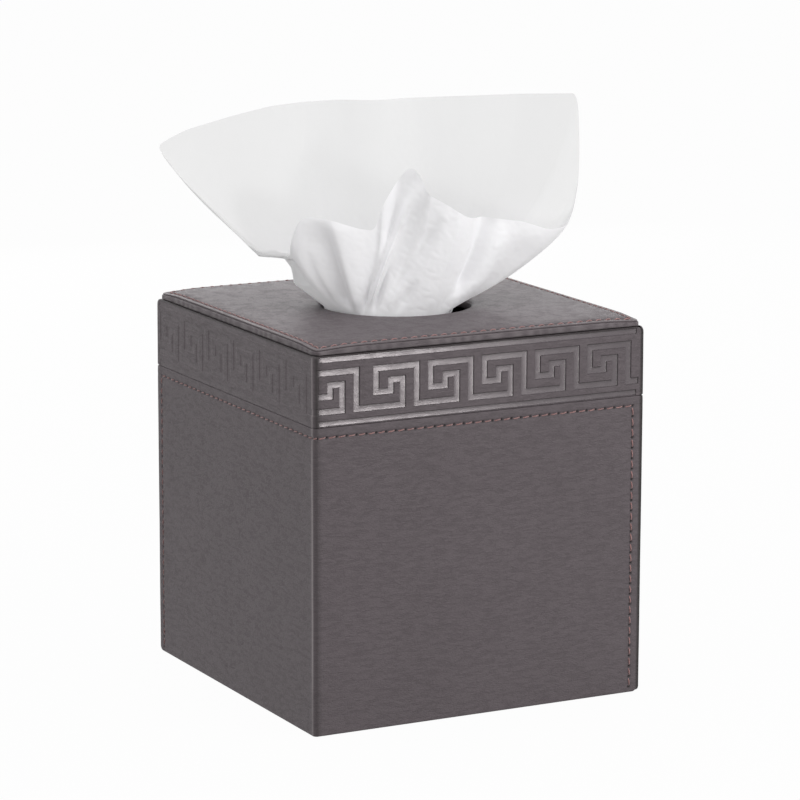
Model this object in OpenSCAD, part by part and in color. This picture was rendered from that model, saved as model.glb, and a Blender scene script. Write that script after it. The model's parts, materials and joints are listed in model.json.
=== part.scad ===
// Leather covered tissue box cover: a square box that stands over a cube carton of tissues.
// The origin is the centre of the base, +Z is up and the front faces -Y.

/* [Cover] */
// Outside width of the walls, left to right
cover_w = 135; // [124:1:160]
// Outside depth of the walls, front to back
cover_d = 135; // [124:1:160]
// Height of the walls, from the base to the crease under the top
wall_h = 138; // [100:1:170]
// Height of the pressed band along the top of the walls
band_h = 25.6; // [25:0.2:40]
// Radius of the folded upright corners
corner_r = 1.8; // [1.2:0.1:2.4]
// Radius of the rounded corners at a panel's free end
panel_corner_r = 2; // [1:0.1:2.4]

/* [Boards and skins] */
// Thickness of the wall boards
wall_board_t = 3; // [2:0.2:4]
// Thickness of the board in the top
top_board_t = 2; // [1.6:0.2:3.6]
// Thickness of the foam pad under the top leather
pad_t = 0.6; // [0.4:0.1:2]
// Thickness of the leather
leather_t = 1; // [0.8:0.1:1.2]
// Thickness of the fabric lining
lining_t = 0.6; // [0.4:0.1:1]

/* [Top] */
// Setback of the top's rolled edge from the wall faces
top_setback = 1.2; // [0.6:0.1:2]
// Setback of the top leather from the rolled edge below it
sheet_setback = 0.6; // [0.3:0.1:0.8]
// Diameter of the round mouth
mouth_d = 56; // [44:1:70]
// Radius at which the leather rolls into the mouth
mouth_roll = 2; // [1.4:0.1:3]

/* [Pressed key pattern] */
// Length of one repeat of the key
key_period = 21.6; // [18:0.2:30]
// Height of the key over its outer runs
key_h = 16.3; // [12:0.1:17]
// Width of a pressed stroke
key_stroke = 2; // [1.2:0.1:2.4]
// Depth of a pressed stroke
key_depth = 0.4; // [0.2:0.05:0.6]
// Distance of the front's first key from the folded corner
key_start = 0.65; // [0.2:0.05:2]
// Extra gap after the front's first key, where two pressings meet
key_join = 2.1; // [0:0.1:4]
// Width of the plain rails above and below the key
rail_w = 2; // [1:0.1:2.4]
// Plain field between the lower rail and the key
rail_field = 2.1; // [1:0.1:2.4]

/* [Stitching] */
// Distance from one stitch to the next
stitch_pitch = 3.95; // [3.6:0.05:6]
// Length of one stitch
stitch_l = 3; // [2:0.1:3.2]
// Diameter of the thread
thread_d = 0.6; // [0.4:0.05:0.8]
// Depth of the groove that the thread lies in
stitch_groove = 0.35; // [0.2:0.05:0.5]
// Distance of the wall stitches from a folded edge
hem = 3.6; // [2.6:0.1:6]
// Distance of the top stitches from the edge of the top leather
top_hem = 1.9; // [1.5:0.1:4]

/* [Bottom flap] */
// Thickness of the board in the flap
flap_board_t = 2.5; // [2:0.1:4]
// Gap between the flap and the lining round it
flap_gap = 0.8; // [0.5:0.1:1.5]
// Height of the hinge strip and of the pull tab above the base
flap_rest = 0.4; // [0.2:0.1:1]
// Thickness of the leather of the hinge strip and of the pull tab
strip_t = 0.8; // [0.6:0.1:1.2]
// Width of the part of the hinge strip that is glued to the flap
hinge_leaf_w = 14; // [8:1:24]
// Height to which the hinge strip climbs the back wall
hinge_rise = 15; // [10:1:24]
// Setback of the hinge strip's ends from the flap's sides
hinge_end_gap = 8; // [2:1:20]
// Width of the pull tab
tab_w = 14; // [10:1:24]
// Length of the pull tab
tab_l = 22; // [14:1:34]
// Diameter of the flap's magnets
magnet_d = 5; // [4:0.5:6]
// Thickness of the flap's magnets
magnet_t = 1.5; // [1:0.1:1.9]
// Distance of each magnet from the middle of the flap
magnet_x = 25; // [12:1:34]
// Length of the ledge that the flap closes against
ledge_l = 80; // [76:1:100]
// Height of the ledge
ledge_h = 4; // [3:0.5:8]
// Thickness of the steel plate in the ledge
plate_t = 0.8; // [0.5:0.1:1.2]

/* [Tissue] */
// Width of the tissue's spread above the mouth
tissue_w = 159; // [120:1:190]
// Depth of the tissue's spread, front to back
tissue_deep = 42; // [30:1:60]
// Height that the tissue stands above the mouth
tissue_rise = 82; // [50:1:110]
// Turn of the tissue's spread from the front face, in degrees
tissue_turn = -15; // [-45:1:45]
// Depth to which the tucked middle of the tissue hangs below the rim
tissue_tuck = 9; // [6:0.5:14]
// Height of the pleats and folds of the tissue
pleat_h = 3; // [1:0.2:3.6]
// Width of the gap that the tissue leaves at the right of the mouth
mouth_gap = 8; // [0:0.5:10]
// Lift of the tissue over that gap
gap_lift = 5; // [2:0.5:8]
// Thickness of the closed solid that stands for the tissue's loose layers
tissue_t = 1.2; // [0.8:0.1:1.6]

/* [Hidden] */
$fn = 48;

leather_colour = [0.33, 0.31, 0.31];
board_colour = [0.62, 0.55, 0.44];
lining_colour = [0.16, 0.15, 0.15];
foam_colour = [0.75, 0.75, 0.72];
thread_colour = [0.52, 0.33, 0.32];
steel_colour = [0.7, 0.7, 0.72];
tissue_colour = [0.92, 0.92, 0.93];

// Overrun of every cut past the face that it opens
overrun = 1;

// Walls: each wrap of leather covers two faces and ends behind the skin of the other wrap
skin_and_board = leather_t + wall_board_t;
wall_t = skin_and_board + lining_t;
inner_w = cover_w - 2 * wall_t;
inner_d = cover_d - 2 * wall_t;
board_h = wall_h - 2 * leather_t;
seam_z = wall_h - band_h;
left_end_gap = 0.4;
front_l = cover_w - leather_t;
left_l = cover_d - left_end_gap;
base_r = 0.6;
crease_r = 0.7;
seam_r = 0.4;
seam_corner_r = 0.8;
free_end_r = 0.5;

// Stitch rows on the walls; the stitches slant by a few degrees
stitch_slant = 8;
stitch_side_play = 0.1;
groove_w = stitch_l * sin(stitch_slant) + thread_d + stitch_side_play;
row_z = seam_z - hem;
row_foot = 2.2;

// Top: a board with a rolled leather edge, a foam pad and a stitched sheet of leather
roll_r = top_board_t / 2;
top_board_w = cover_w - 2 * (top_setback + roll_r);
top_board_d = cover_d - 2 * (top_setback + roll_r);
top_corner_r = 1.5;
pad_z = wall_h + top_board_t;
sheet_z = pad_z + pad_t;
top_z = sheet_z + leather_t;
sheet_grow = roll_r - sheet_setback;
sheet_w = top_board_w + 2 * sheet_grow;
sheet_d = top_board_d + 2 * sheet_grow;
sheet_corner_r = top_corner_r + sheet_grow;
mouth_r = mouth_d / 2;
lip_r = mouth_r + mouth_roll;
lip_z = wall_h - lining_t;
roll_z = top_z - mouth_roll;
lining_play = 0.3;

// Key pattern: its columns as shares of its period and its inner runs as shares of its height
key_column_shares = [0, 0.27, 0.487, 0.745];
key_run_shares = [0.33, 0.575];
key_lead_share = 0.27;
key_z = seam_z + seam_r + rail_w + rail_field;
key_l = key_column_shares[3] * key_period + key_stroke;
key_end_gap = 1.5;
rail_end_gap = 2.4;
upper_rail_gap = 0.6;
front_keys = floor((front_l - key_end_gap - key_start - key_join - key_l) / key_period);
left_keys = floor((left_l - key_end_gap + key_start) / key_period);

// Flap, from the hinge strip under it up to its lining
flap_z = flap_rest + strip_t;
flap_board_z = flap_z + leather_t;
flap_lining_z = flap_board_z + flap_board_t;
flap_top_z = flap_lining_z + lining_t;
flap_w = inner_w - 2 * flap_gap;
flap_front_y = -inner_d / 2 + flap_gap;
flap_back_y = inner_d / 2 - strip_t - flap_gap;
flap_d = flap_back_y - flap_front_y;
flap_corner_r = 1.5;
hinge_y = inner_d / 2 - strip_t / 2;
hinge_z = flap_rest + strip_t / 2;
hinge_l = flap_w - 2 * hinge_end_gap;
hinge_play = 0.1;
magnet_wall = 1.2;
magnet_y = flap_front_y + leather_t + magnet_wall + magnet_d / 2;
ledge_play = 0.3;
ledge_z = flap_top_z + ledge_play;
ledge_d = magnet_y + magnet_d / 2 + magnet_wall + inner_d / 2;
plate_l = 2 * magnet_x + magnet_d;

// Tissue: a square sheet tucked in at its middle, whose free edge is a loop round the mouth.
// Angles run from the right end of the spread, through the back, the left end and the front.
tissue_sides = 48;
spread_rows = 9;
tuck_rows = 3;
tissue_rows = tuck_rows + spread_rows;
pleats = 7;
pleat_shift = 35;
pleat_share = 0.5;
tissue_play = 0.7;
tissue_mouth_z = top_z - mouth_roll / 2;
tissue_mouth_r = mouth_r - tissue_play;
tuck_z = tissue_mouth_z - tissue_tuck;
fold_side_share = 0.35;
fold_foot = 0.2;
fold_in = 0.25;
fold_out = 0.3;
soften = 4;
slope_step = 0.2;
// Free edge: places to the right, as shares of tissue_w
edge_right_shares = [
    [0, 0.437], [20, 0.405], [50, 0.25], [90, 0], [130, -0.26], [160, -0.46], [180, -0.578],
    [200, -0.45], [225, -0.32], [245, -0.19], [262, -0.06], [273, 0.035], [285, 0.11],
    [300, 0.20], [330, 0.345], [345, 0.42], [360, 0.437]
];
// Free edge: places to the back, as shares of tissue_deep
edge_back_shares = [
    [0, 0.02], [20, 0.22], [50, 0.36], [90, 0.40], [130, 0.34], [160, 0.18], [180, -0.05],
    [200, -0.30], [225, -0.48], [245, -0.60], [260, -0.62], [271, -0.42], [283, -0.66],
    [300, -0.66], [330, -0.47], [345, -0.19], [360, 0.02]
];
// Free edge: heights, as shares of tissue_rise
edge_rise_shares = [
    [0, 0.92], [12, 0.945], [50, 0.935], [90, 0.915], [130, 0.895], [160, 0.845],
    [180, 0.735], [200, 0.62], [225, 0.51], [245, 0.42], [262, 0.42], [271, 0.76],
    [281, 0.50], [290, 0.45], [300, 0.42], [330, 0.40], [345, 0.44], [352, 0.68], [360, 0.92]
];
// How early the sheet spreads on its way up: 1 is a straight slope
flare_shares = [
    [0, 3.4], [40, 2.2], [90, 1.4], [140, 1.2], [180, 1.3], [200, 1.4], [230, 1.5],
    [262, 1.2], [280, 1.5], [300, 2.2], [320, 2.7], [345, 3.1], [360, 3.4]
];
// How far the sheet draws back from the rim, as shares of mouth_gap
gap_shares = [[0, 1], [20, 1], [40, 0], [300, 0], [318, 1], [360, 1]];
// The main folds: height as a share of pleat_h, then the angle at the mouth, the angle at
// the free edge and the half width in degrees, and where the fold starts and ends on its way up
fold_shares = [
    [-1.6, 213, 262, 10, -0.3, 0.75], [1, 231, 278, 9, -0.2, 0.6],
    [-1.8, 257, 262, 9, 0.5, 1.5], [2.1, 241, 292, 9, 0.05, 1.3],
    [-1.2, 284, 298, 8, -0.1, 1], [-2, 328, 293, 10, 0.05, 1.1],
    [1.3, 345, 312, 10, 0.1, 1.1], [1, 196, 212, 9, 0, 0.8],
    [0.9, 60, 72, 12, 0, 1.4], [-0.9, 92, 98, 12, 0, 1.4],
    [0.9, 128, 122, 12, 0, 1.4], [-0.8, 158, 150, 12, 0, 1.3]
];

function mix(a, b, t) = a + (b - a) * t;

function smooth(t) =
    let (u = min(max(t, 0), 1))
    u * u * (3 - 2 * u);

// A face's frame has X along the face from the folded corner, Y into the wall and Z up
module on_front() {
    translate([-cover_w / 2, -cover_d / 2, 0])
        children();
}

module on_left() {
    translate([-cover_w / 2, -cover_d / 2, 0])
        mirror([1, -1, 0])
            children();
}

// The back and right faces repeat the front and left ones, half a turn round
module half_turn() {
    rotate([0, 0, 180])
        children();
}

// A rectangle in plan with rounded corners
module rounded_plan(w, d, r) {
    square([w - 2 * r, d], center = true);
    square([w, d - 2 * r], center = true);
    for (x = [r - w / 2, w / 2 - r])
        for (y = [r - d / 2, d / 2 - r])
            translate([x, y])
                circle(r);
}

// Half round edge of the thickness t, all along the rim of a rounded rectangle
module round_edge(w, d, r, t) {
    for (side = [0:3]) {
        across = side % 2 == 0 ? w : d;
        along = side % 2 == 0 ? d : w;
        rotate([0, 0, 90 * side]) {
            translate([across / 2, along / 2 - r, t / 2])
                rotate([90, 0, 0])
                    linear_extrude(along - 2 * r)
                        half_disc(t);
            translate([across / 2 - r, along / 2 - r, t / 2])
                rotate_extrude(angle = 90)
                    translate([r, 0])
                        half_disc(t);
        }
    }
}

module half_disc(d) {
    intersection() {
        circle(d / 2);
        translate([0, -d / 2])
            square([d / 2, d]);
    }
}

// What rounding takes off a square edge that lies at the origin
module round_waste(r) {
    difference() {
        translate([-overrun, -overrun])
            square(r + overrun);
        translate([r, r])
            circle(r);
    }
}

// Waste along a level edge of a face, at the height z
module level_waste(l, z, r, upper) {
    translate([-overrun, 0, z])
        rotate([90, 0, 90])
            linear_extrude(l + 2 * overrun)
                mirror([0, upper ? 1 : 0])
                    round_waste(r);
}

// Waste along the upright edge of a panel's free end
module upright_waste(l) {
    translate([l, 0, -overrun])
        linear_extrude(wall_h + 2 * overrun)
            mirror([1, 0])
                round_waste(free_end_r);
}

// Waste at a rounded corner of a panel's free end, through the thickness t
module corner_waste(l, z, r, t, upper) {
    translate([l, t + overrun, z])
        rotate([90, 0, 0])
            linear_extrude(t + 2 * overrun)
                mirror([0, upper ? 1 : 0])
                    mirror([1, 0])
                        round_waste(r);
}

// Everything that is rounded off one face of a wrap, for its edges at low_z and high_z
module face_waste(l, t, low_z, high_z, edge_radii, corner_radii) {
    level_waste(l, low_z, edge_radii[0], false);
    level_waste(l, high_z, edge_radii[1], true);
    upright_waste(l);
    corner_waste(l, low_z, corner_radii[0], t, false);
    corner_waste(l, high_z, corner_radii[1], t, true);
}

// The skin of a wrap in plan: two faces, and the fold round the end of the front board
module skin_plan() {
    difference() {
        union() {
            square([front_l, leather_t]);
            square([leather_t, left_l]);
            translate([front_l - leather_t, 0])
                square([leather_t, skin_and_board]);
        }
        round_waste(corner_r);
    }
}

// The same wrap in plan where it is turned over the edges of the boards
module turn_plan() {
    difference() {
        union() {
            square([front_l, skin_and_board]);
            square([skin_and_board, cover_d - skin_and_board]);
            square([leather_t, left_l]);
        }
        round_waste(corner_r);
    }
}

// A wrap of leather from low_z to high_z, turned over the boards at turn_z
module wrap(low_z, high_z, turn_z, edge_radii, corner_radii) {
    difference() {
        on_front() {
            translate([0, 0, low_z])
                linear_extrude(high_z - low_z)
                    skin_plan();
            translate([0, 0, turn_z])
                linear_extrude(leather_t)
                    turn_plan();
        }
        on_front()
            face_waste(front_l, skin_and_board, low_z, high_z, edge_radii, corner_radii);
        on_left()
            face_waste(left_l, leather_t, low_z, high_z, edge_radii, corner_radii);
    }
}

// Grooves under the stitches of one face: along the seam and down the free end
module face_grooves(l) {
    translate([corner_r, -overrun, row_z - groove_w / 2])
        cube([l - hem + groove_w / 2 - corner_r, overrun + stitch_groove, groove_w]);
    translate([l - hem - groove_w / 2, -overrun, row_foot])
        cube([groove_w, overrun + stitch_groove, row_z - row_foot]);
}

// Stitches along X, in a row of the length l
module stitch_row(l, slant) {
    for (i = [0:floor((l - stitch_l) / stitch_pitch)])
        translate([i * stitch_pitch + stitch_l / 2, stitch_groove - thread_d / 2, 0])
            rotate([0, 90 - slant, 0])
                cylinder(h = stitch_l, r = thread_d / 2, center = true);
}

// Stitches of one face
module face_stitches(l, slant) {
    translate([corner_r, 0, row_z])
        stitch_row(l - hem - groove_w / 2 - corner_r, slant);
    translate([l - hem, 0, row_z - groove_w / 2])
        rotate([0, 90, 0])
            stitch_row(row_z - groove_w / 2 - row_foot, slant);
}

// One stroke of the key, from (x0, z0) to (x1, z1) over its outside
module stroke(x0, z0, x1, z1) {
    translate([x0, z0])
        square([x1 - x0, z1 - z0]);
}

// One repeat of the key, with the runs that join it to its neighbours
module key() {
    x = key_column_shares * key_period;
    z = key_run_shares * key_h;
    s = key_stroke;
    stroke(x[3] - key_period, 0, x[2] + s, s);
    stroke(x[2], 0, x[2] + s, z[1] + s);
    stroke(x[1], z[1], x[2] + s, z[1] + s);
    stroke(x[1], z[0], x[1] + s, z[1] + s);
    stroke(x[0], z[0], x[1] + s, z[0] + s);
    stroke(x[0], z[0], x[0] + s, key_h);
    stroke(x[0], key_h - s, x[3] + s, key_h);
    stroke(x[3], 0, x[3] + s, key_h);
    stroke(x[3], 0, x[3] + key_lead_share * key_period, s);
}

// The pressed pattern of one face, as a tool that stands in the face's frame
module pressing(l) {
    translate([0, key_depth, 0])
        rotate([90, 0, 0])
            linear_extrude(key_depth + overrun) {
                for (z = [seam_z + seam_r, wall_h - upper_rail_gap - rail_w])
                    translate([corner_r, z])
                        square([l - rail_end_gap - corner_r, rail_w]);
                translate([0, key_z])
                    intersection() {
                        children();
                        translate([key_start, 0])
                            square([l - key_end_gap - key_start, key_h]);
                    }
            }
}

module front_keys() {
    translate([key_start, 0])
        key();
    for (i = [1:front_keys])
        translate([key_start + key_join + i * key_period, 0])
            key();
}

module left_keys() {
    for (i = [1:left_keys])
        translate([i * key_period - key_start, 0])
            mirror([1, 0])
                key();
}

// Half section of the mouth, for the leather's face or for the layers under it
module mouth_section(r) {
    difference() {
        union() {
            translate([0, lip_z - overrun])
                square([lip_r - r, top_z - lip_z + 2 * overrun]);
            translate([0, roll_z])
                square([lip_r, top_z - roll_z + overrun]);
        }
        translate([lip_r, roll_z])
            circle(r);
    }
}

module mouth_hole(r) {
    rotate_extrude()
        mouth_section(r);
}

// The tissue's sheet: places along it run from the tucked middle to the free edge
function share_at(shares, a) =
    (lookup((a + 360 - soften) % 360, shares)
    + lookup(a % 360, shares)
    + lookup((a + soften) % 360, shares)) / 3;

function turned(x, y) = [
    x * cos(tissue_turn) - y * sin(tissue_turn),
    x * sin(tissue_turn) + y * cos(tissue_turn)
];

function wave(a) = cos(pleats * a + pleat_shift * sin(2 * a));

function fold_one(a, v, f) =
    let (off = (a - mix(f[1], f[2], v) + 360 + 180) % 360 - 180)
    f[0] * exp(-pow(off / f[3], 2)) * smooth((v - f[4]) / fold_in) * smooth((f[5] - v) / fold_out);

function fold_sum(a, v, i = 0) =
    i == len(fold_shares) ? 0 : fold_one(a, v, fold_shares[i]) + fold_sum(a, v, i + 1);

function fold_at(a, v) =
    pleat_h * (pleat_share * wave(a) * 4 * v * (1 - v) + smooth(v / fold_foot) * fold_sum(a, v));

function loop_r(a) =
    let (drawn = share_at(gap_shares, a))
    tissue_mouth_r - mouth_gap * drawn - pleat_h * (1 - drawn) * (1 - wave(a)) / 2;

function loop_z(a) = tissue_mouth_z + gap_lift * share_at(gap_shares, a);

function spread_point(a, v) =
    let (
        s = 1 - pow(1 - v, share_at(flare_shares, a)),
        fold = fold_at(a, v),
        right = share_at(edge_right_shares, a) * tissue_w,
        back = share_at(edge_back_shares, a) * tissue_deep,
        place = turned(
            mix(loop_r(a) * cos(a), right, s) + fold * fold_side_share * cos(a),
            mix(loop_r(a) * sin(a), back, s) + fold * sin(a)
        )
    )
    [place[0], place[1], mix(loop_z(a), top_z + share_at(edge_rise_shares, a) * tissue_rise, v)];

function tuck_point(a, t) =
    let (r = loop_r(a) * sin(90 * t), place = turned(r * cos(a), r * sin(a)))
    [place[0], place[1], mix(tuck_z, loop_z(a), 1 - cos(90 * t))];

function sheet_point(a, row) =
    row < tuck_rows
        ? tuck_point(a, (row + 1) / (tuck_rows + 1))
        : spread_point(a, (row - tuck_rows) / spread_rows);

function sheet_normal(a, row) =
    let (
        below = sheet_point(a, max(row - slope_step, 0)),
        above = sheet_point(a, min(row + slope_step, tissue_rows)),
        before = sheet_point(a + 360 - slope_step, row),
        after = sheet_point(a + slope_step, row),
        n = cross(after - before, above - below)
    )
    n / norm(n);

module tissue_solid() {
    ring = [for (i = [0:tissue_sides - 1]) 360 * i / tissue_sides];
    outer = [for (row = [0:tissue_rows]) for (a = ring) sheet_point(a, row)];
    inner = [
        for (row = [0:tissue_rows]) for (a = ring)
            sheet_point(a, row) - tissue_t * sheet_normal(a, row)
    ];
    count = len(outer);
    n = tissue_sides;
    rim = tissue_rows * n;
    walls = [
        for (row = [0:tissue_rows - 1]) for (i = [0:n - 1])
            let (
                a = row * n + i,
                b = a + n,
                d = row * n + (i + 1) % n,
                c = d + n
            )
            each [[a, b, c], [a, c, d], [count + a, count + c, count + b],
                [count + a, count + d, count + c]]
    ];
    ends = [
        for (i = [0:n - 1])
            let (j = (i + 1) % n)
            each [[rim + i, count + rim + i, count + rim + j], [rim + i, count + rim + j, rim + j],
                [2 * count, i, j], [2 * count + 1, count + j, count + i]]
    ];
    polyhedron(
        points = concat(outer, inner, [[0, 0, tuck_z], [0, 0, tuck_z + tissue_t]]),
        faces = concat(walls, ends)
    );
}

module front_board() {
    color(board_colour)
        on_front()
            translate([leather_t, leather_t, leather_t])
                cube([front_l - 2 * leather_t, wall_board_t, board_h]);
}

module back_board() {
    half_turn()
        front_board();
}

module left_board() {
    color(board_colour)
        on_front()
            translate([leather_t, skin_and_board, leather_t])
                cube([wall_board_t, cover_d - 2 * skin_and_board, board_h]);
}

module right_board() {
    half_turn()
        left_board();
}

module front_left_panel() {
    color(leather_colour)
        difference() {
            wrap(0, seam_z, 0, [base_r, seam_r], [panel_corner_r, seam_corner_r]);
            on_front()
                face_grooves(front_l);
            on_left()
                face_grooves(left_l);
        }
}

module back_right_panel() {
    half_turn()
        front_left_panel();
}

module front_left_band() {
    color(leather_colour)
        difference() {
            wrap(seam_z, wall_h, wall_h - leather_t, [seam_r, crease_r],
                [seam_corner_r, panel_corner_r]);
            on_front()
                pressing(front_l)
                    front_keys();
            on_left()
                pressing(left_l)
                    left_keys();
        }
}

module back_right_band() {
    half_turn()
        front_left_band();
}

module front_left_thread() {
    color(thread_colour) {
        on_front()
            face_stitches(front_l, stitch_slant);
        on_left()
            face_stitches(left_l, -stitch_slant);
    }
}

module back_right_thread() {
    half_turn()
        front_left_thread();
}

module wall_lining() {
    color(lining_colour)
        translate([0, 0, leather_t])
            linear_extrude(wall_h - leather_t)
                difference() {
                    square([inner_w + 2 * lining_t, inner_d + 2 * lining_t], center = true);
                    square([inner_w, inner_d], center = true);
                }
}

module top_board() {
    color(board_colour)
        difference() {
            translate([0, 0, wall_h])
                linear_extrude(top_board_t)
                    rounded_plan(top_board_w, top_board_d, top_corner_r);
            mouth_hole(mouth_roll - leather_t);
        }
}

module top_edge_roll() {
    color(leather_colour)
        translate([0, 0, wall_h])
            round_edge(top_board_w, top_board_d, top_corner_r, top_board_t);
}

module top_pad() {
    color(foam_colour)
        difference() {
            translate([0, 0, pad_z])
                linear_extrude(pad_t)
                    rounded_plan(top_board_w, top_board_d, top_corner_r);
            mouth_hole(mouth_roll - leather_t);
        }
}

module top_leather() {
    core_w = sheet_w - leather_t;
    core_d = sheet_d - leather_t;
    core_r = sheet_corner_r - leather_t / 2;
    color(leather_colour) {
        difference() {
            translate([0, 0, sheet_z]) {
                linear_extrude(leather_t)
                    rounded_plan(core_w, core_d, core_r);
                round_edge(core_w, core_d, core_r, leather_t);
            }
            mouth_hole(mouth_roll);
            translate([0, 0, top_z - stitch_groove])
                linear_extrude(stitch_groove + overrun)
                    difference() {
                        square([sheet_w, sheet_d] - [1, 1] * (2 * top_hem - groove_w),
                            center = true);
                        square([sheet_w, sheet_d] - [1, 1] * (2 * top_hem + groove_w),
                            center = true);
                    }
        }
        rotate_extrude()
            difference() {
                intersection() {
                    mouth_section(mouth_roll - leather_t);
                    translate([0, lip_z])
                        square([lip_r, sheet_z - lip_z]);
                }
                mouth_section(mouth_roll);
            }
    }
}

module top_thread() {
    color(thread_colour)
        for (side = [0:3]) {
            across = side % 2 == 0 ? sheet_d : sheet_w;
            along = (side % 2 == 0 ? sheet_w : sheet_d) - 2 * top_hem - groove_w;
            rotate([0, 0, 90 * side])
                translate([-along / 2, top_hem - across / 2, top_z])
                    rotate([-90, 0, 0])
                        stitch_row(along, stitch_slant);
        }
}

module top_lining() {
    color(lining_colour)
        translate([0, 0, lip_z])
            linear_extrude(lining_t)
                difference() {
                    square([inner_w - 2 * lining_play, inner_d - 2 * lining_play],
                        center = true);
                    circle(mouth_r + leather_t + lining_play);
                }
}

module plate_block() {
    translate([-plate_l / 2, magnet_y - magnet_d / 2, ledge_z])
        cube([plate_l, magnet_d, plate_t]);
}

module catch_ledge() {
    color(leather_colour)
        difference() {
            translate([-ledge_l / 2, -inner_d / 2, ledge_z])
                cube([ledge_l, ledge_d, ledge_h]);
            plate_block();
        }
}

module catch_plate() {
    color(steel_colour)
        plate_block();
}

module hinge_wall_leaf() {
    leaf_z = hinge_z + strip_t / 2 + hinge_play;
    color(leather_colour)
        translate([-hinge_l / 2, inner_d / 2 - strip_t, leaf_z])
            cube([hinge_l, strip_t, hinge_rise - leaf_z]);
}

// A layer of the flap, smaller than its outline by inset all round
module flap_layer(z, t, inset) {
    translate([0, (flap_front_y + flap_back_y) / 2, z])
        linear_extrude(t)
            rounded_plan(flap_w - 2 * inset, flap_d - 2 * inset, flap_corner_r - inset);
}

module flap_board() {
    color(board_colour)
        difference() {
            flap_layer(flap_board_z, flap_board_t, leather_t);
            magnet_pair(overrun);
        }
}

module flap_leather() {
    color(leather_colour)
        difference() {
            flap_layer(flap_z, leather_t + flap_board_t, 0);
            flap_layer(flap_board_z, flap_board_t + overrun, leather_t);
        }
}

module flap_lining() {
    color(lining_colour)
        flap_layer(flap_lining_z, lining_t, 0);
}

// The two magnets; above is what a cut for them adds over their faces
module magnet_pair(above) {
    for (x = [-magnet_x, magnet_x])
        translate([x, magnet_y, flap_lining_z - magnet_t])
            cylinder(h = magnet_t + above, r = magnet_d / 2);
}

module flap_magnets() {
    color(steel_colour)
        magnet_pair(0);
}

module hinge_flap_leaf() {
    color(leather_colour)
        translate([-hinge_l / 2, 0, 0])
            rotate([90, 0, 90])
                linear_extrude(hinge_l) {
                    translate([flap_back_y - hinge_leaf_w, flap_rest])
                        square([hinge_y - flap_back_y + hinge_leaf_w, strip_t]);
                    translate([hinge_y, hinge_z])
                        circle(strip_t / 2);
                }
}

module pull_tab() {
    color(leather_colour)
        translate([0, flap_front_y + tab_w / 2, flap_rest])
            linear_extrude(strip_t) {
                circle(tab_w / 2);
                translate([-tab_w / 2, 0])
                    square([tab_w, tab_l - tab_w / 2]);
            }
}

module tissue() {
    color(tissue_colour)
        tissue_solid();
}

front_board();
back_board();
left_board();
right_board();
front_left_panel();
back_right_panel();
front_left_band();
back_right_band();
front_left_thread();
back_right_thread();
wall_lining();
top_board();
top_edge_roll();
top_pad();
top_leather();
top_thread();
top_lining();
catch_ledge();
catch_plate();
hinge_wall_leaf();
flap_board();
flap_leather();
flap_lining();
flap_magnets();
hinge_flap_leaf();
pull_tab();
tissue();
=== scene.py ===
"""The finished looks of a leather covered tissue box cover, worked out round its packed construction.

Sizes are metres, the origin is the centre of the base, +Z is up and the front faces -Y.
The file is laid out as an add-on and is run as a script: main() calls the operators in order.
"""

import json
import math

import bmesh
import bpy
import numpy as np
from bpy.props import FloatProperty, FloatVectorProperty, PointerProperty
from mathutils import Matrix, Vector


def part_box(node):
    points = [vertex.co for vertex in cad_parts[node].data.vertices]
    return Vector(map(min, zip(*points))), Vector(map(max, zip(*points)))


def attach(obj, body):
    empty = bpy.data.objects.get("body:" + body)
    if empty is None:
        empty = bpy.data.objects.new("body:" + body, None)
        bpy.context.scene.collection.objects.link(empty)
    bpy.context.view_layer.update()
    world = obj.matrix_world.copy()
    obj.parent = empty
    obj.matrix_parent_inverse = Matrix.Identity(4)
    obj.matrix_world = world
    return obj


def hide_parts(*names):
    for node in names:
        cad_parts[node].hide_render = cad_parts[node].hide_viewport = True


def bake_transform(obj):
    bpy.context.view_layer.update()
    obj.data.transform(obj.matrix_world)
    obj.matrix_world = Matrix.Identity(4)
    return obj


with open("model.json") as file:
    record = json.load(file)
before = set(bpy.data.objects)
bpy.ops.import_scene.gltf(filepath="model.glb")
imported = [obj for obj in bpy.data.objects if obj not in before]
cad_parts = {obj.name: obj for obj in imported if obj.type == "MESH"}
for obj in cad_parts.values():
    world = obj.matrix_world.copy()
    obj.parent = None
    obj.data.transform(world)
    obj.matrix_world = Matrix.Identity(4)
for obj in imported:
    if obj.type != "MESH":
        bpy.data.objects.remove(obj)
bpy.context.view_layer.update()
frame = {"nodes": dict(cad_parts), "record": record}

bl_info = {
    "name": "Tissue Box Cover",
    "version": (1, 0, 0),
    "blender": (4, 5, 0),
    "location": "3D View > Sidebar > Box Cover",
    "description": "Leather, stitches, tissue and studio of a tissue box cover",
    "category": "Object",
}

MM = 0.001


def node_box(*nodes):
    """Lowest and highest corner of one or more nodes of the frame."""
    boxes = [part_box(name) for name in nodes]
    return (
        np.min([np.array(low) for low, high in boxes], axis=0),
        np.max([np.array(high) for low, high in boxes], axis=0),
    )


# Places that follow from the frame
COVER_LOW = node_box("front_left_panel", "back_right_panel")[0]
WRAP_HIGH = node_box("front_left_panel")[1]
FRONT_L = WRAP_HIGH[0] - COVER_LOW[0]
LEFT_L = WRAP_HIGH[1] - COVER_LOW[1]
SEAM_Z = WRAP_HIGH[2]
WALL_H = node_box("front_left_band")[1][2]
LEATHER_T = float(node_box("front_board")[0][1] - COVER_LOW[1])
SKIN_AND_BOARD = float(node_box("front_board")[1][1] - COVER_LOW[1])
SHEET_LOW, SHEET_HIGH = node_box("top_leather")
ROLL_LOW, ROLL_HIGH = node_box("top_edge_roll")
PAD_LOW, PAD_HIGH = node_box("top_pad")
TOP_Z = float(SHEET_HIGH[2])


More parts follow.
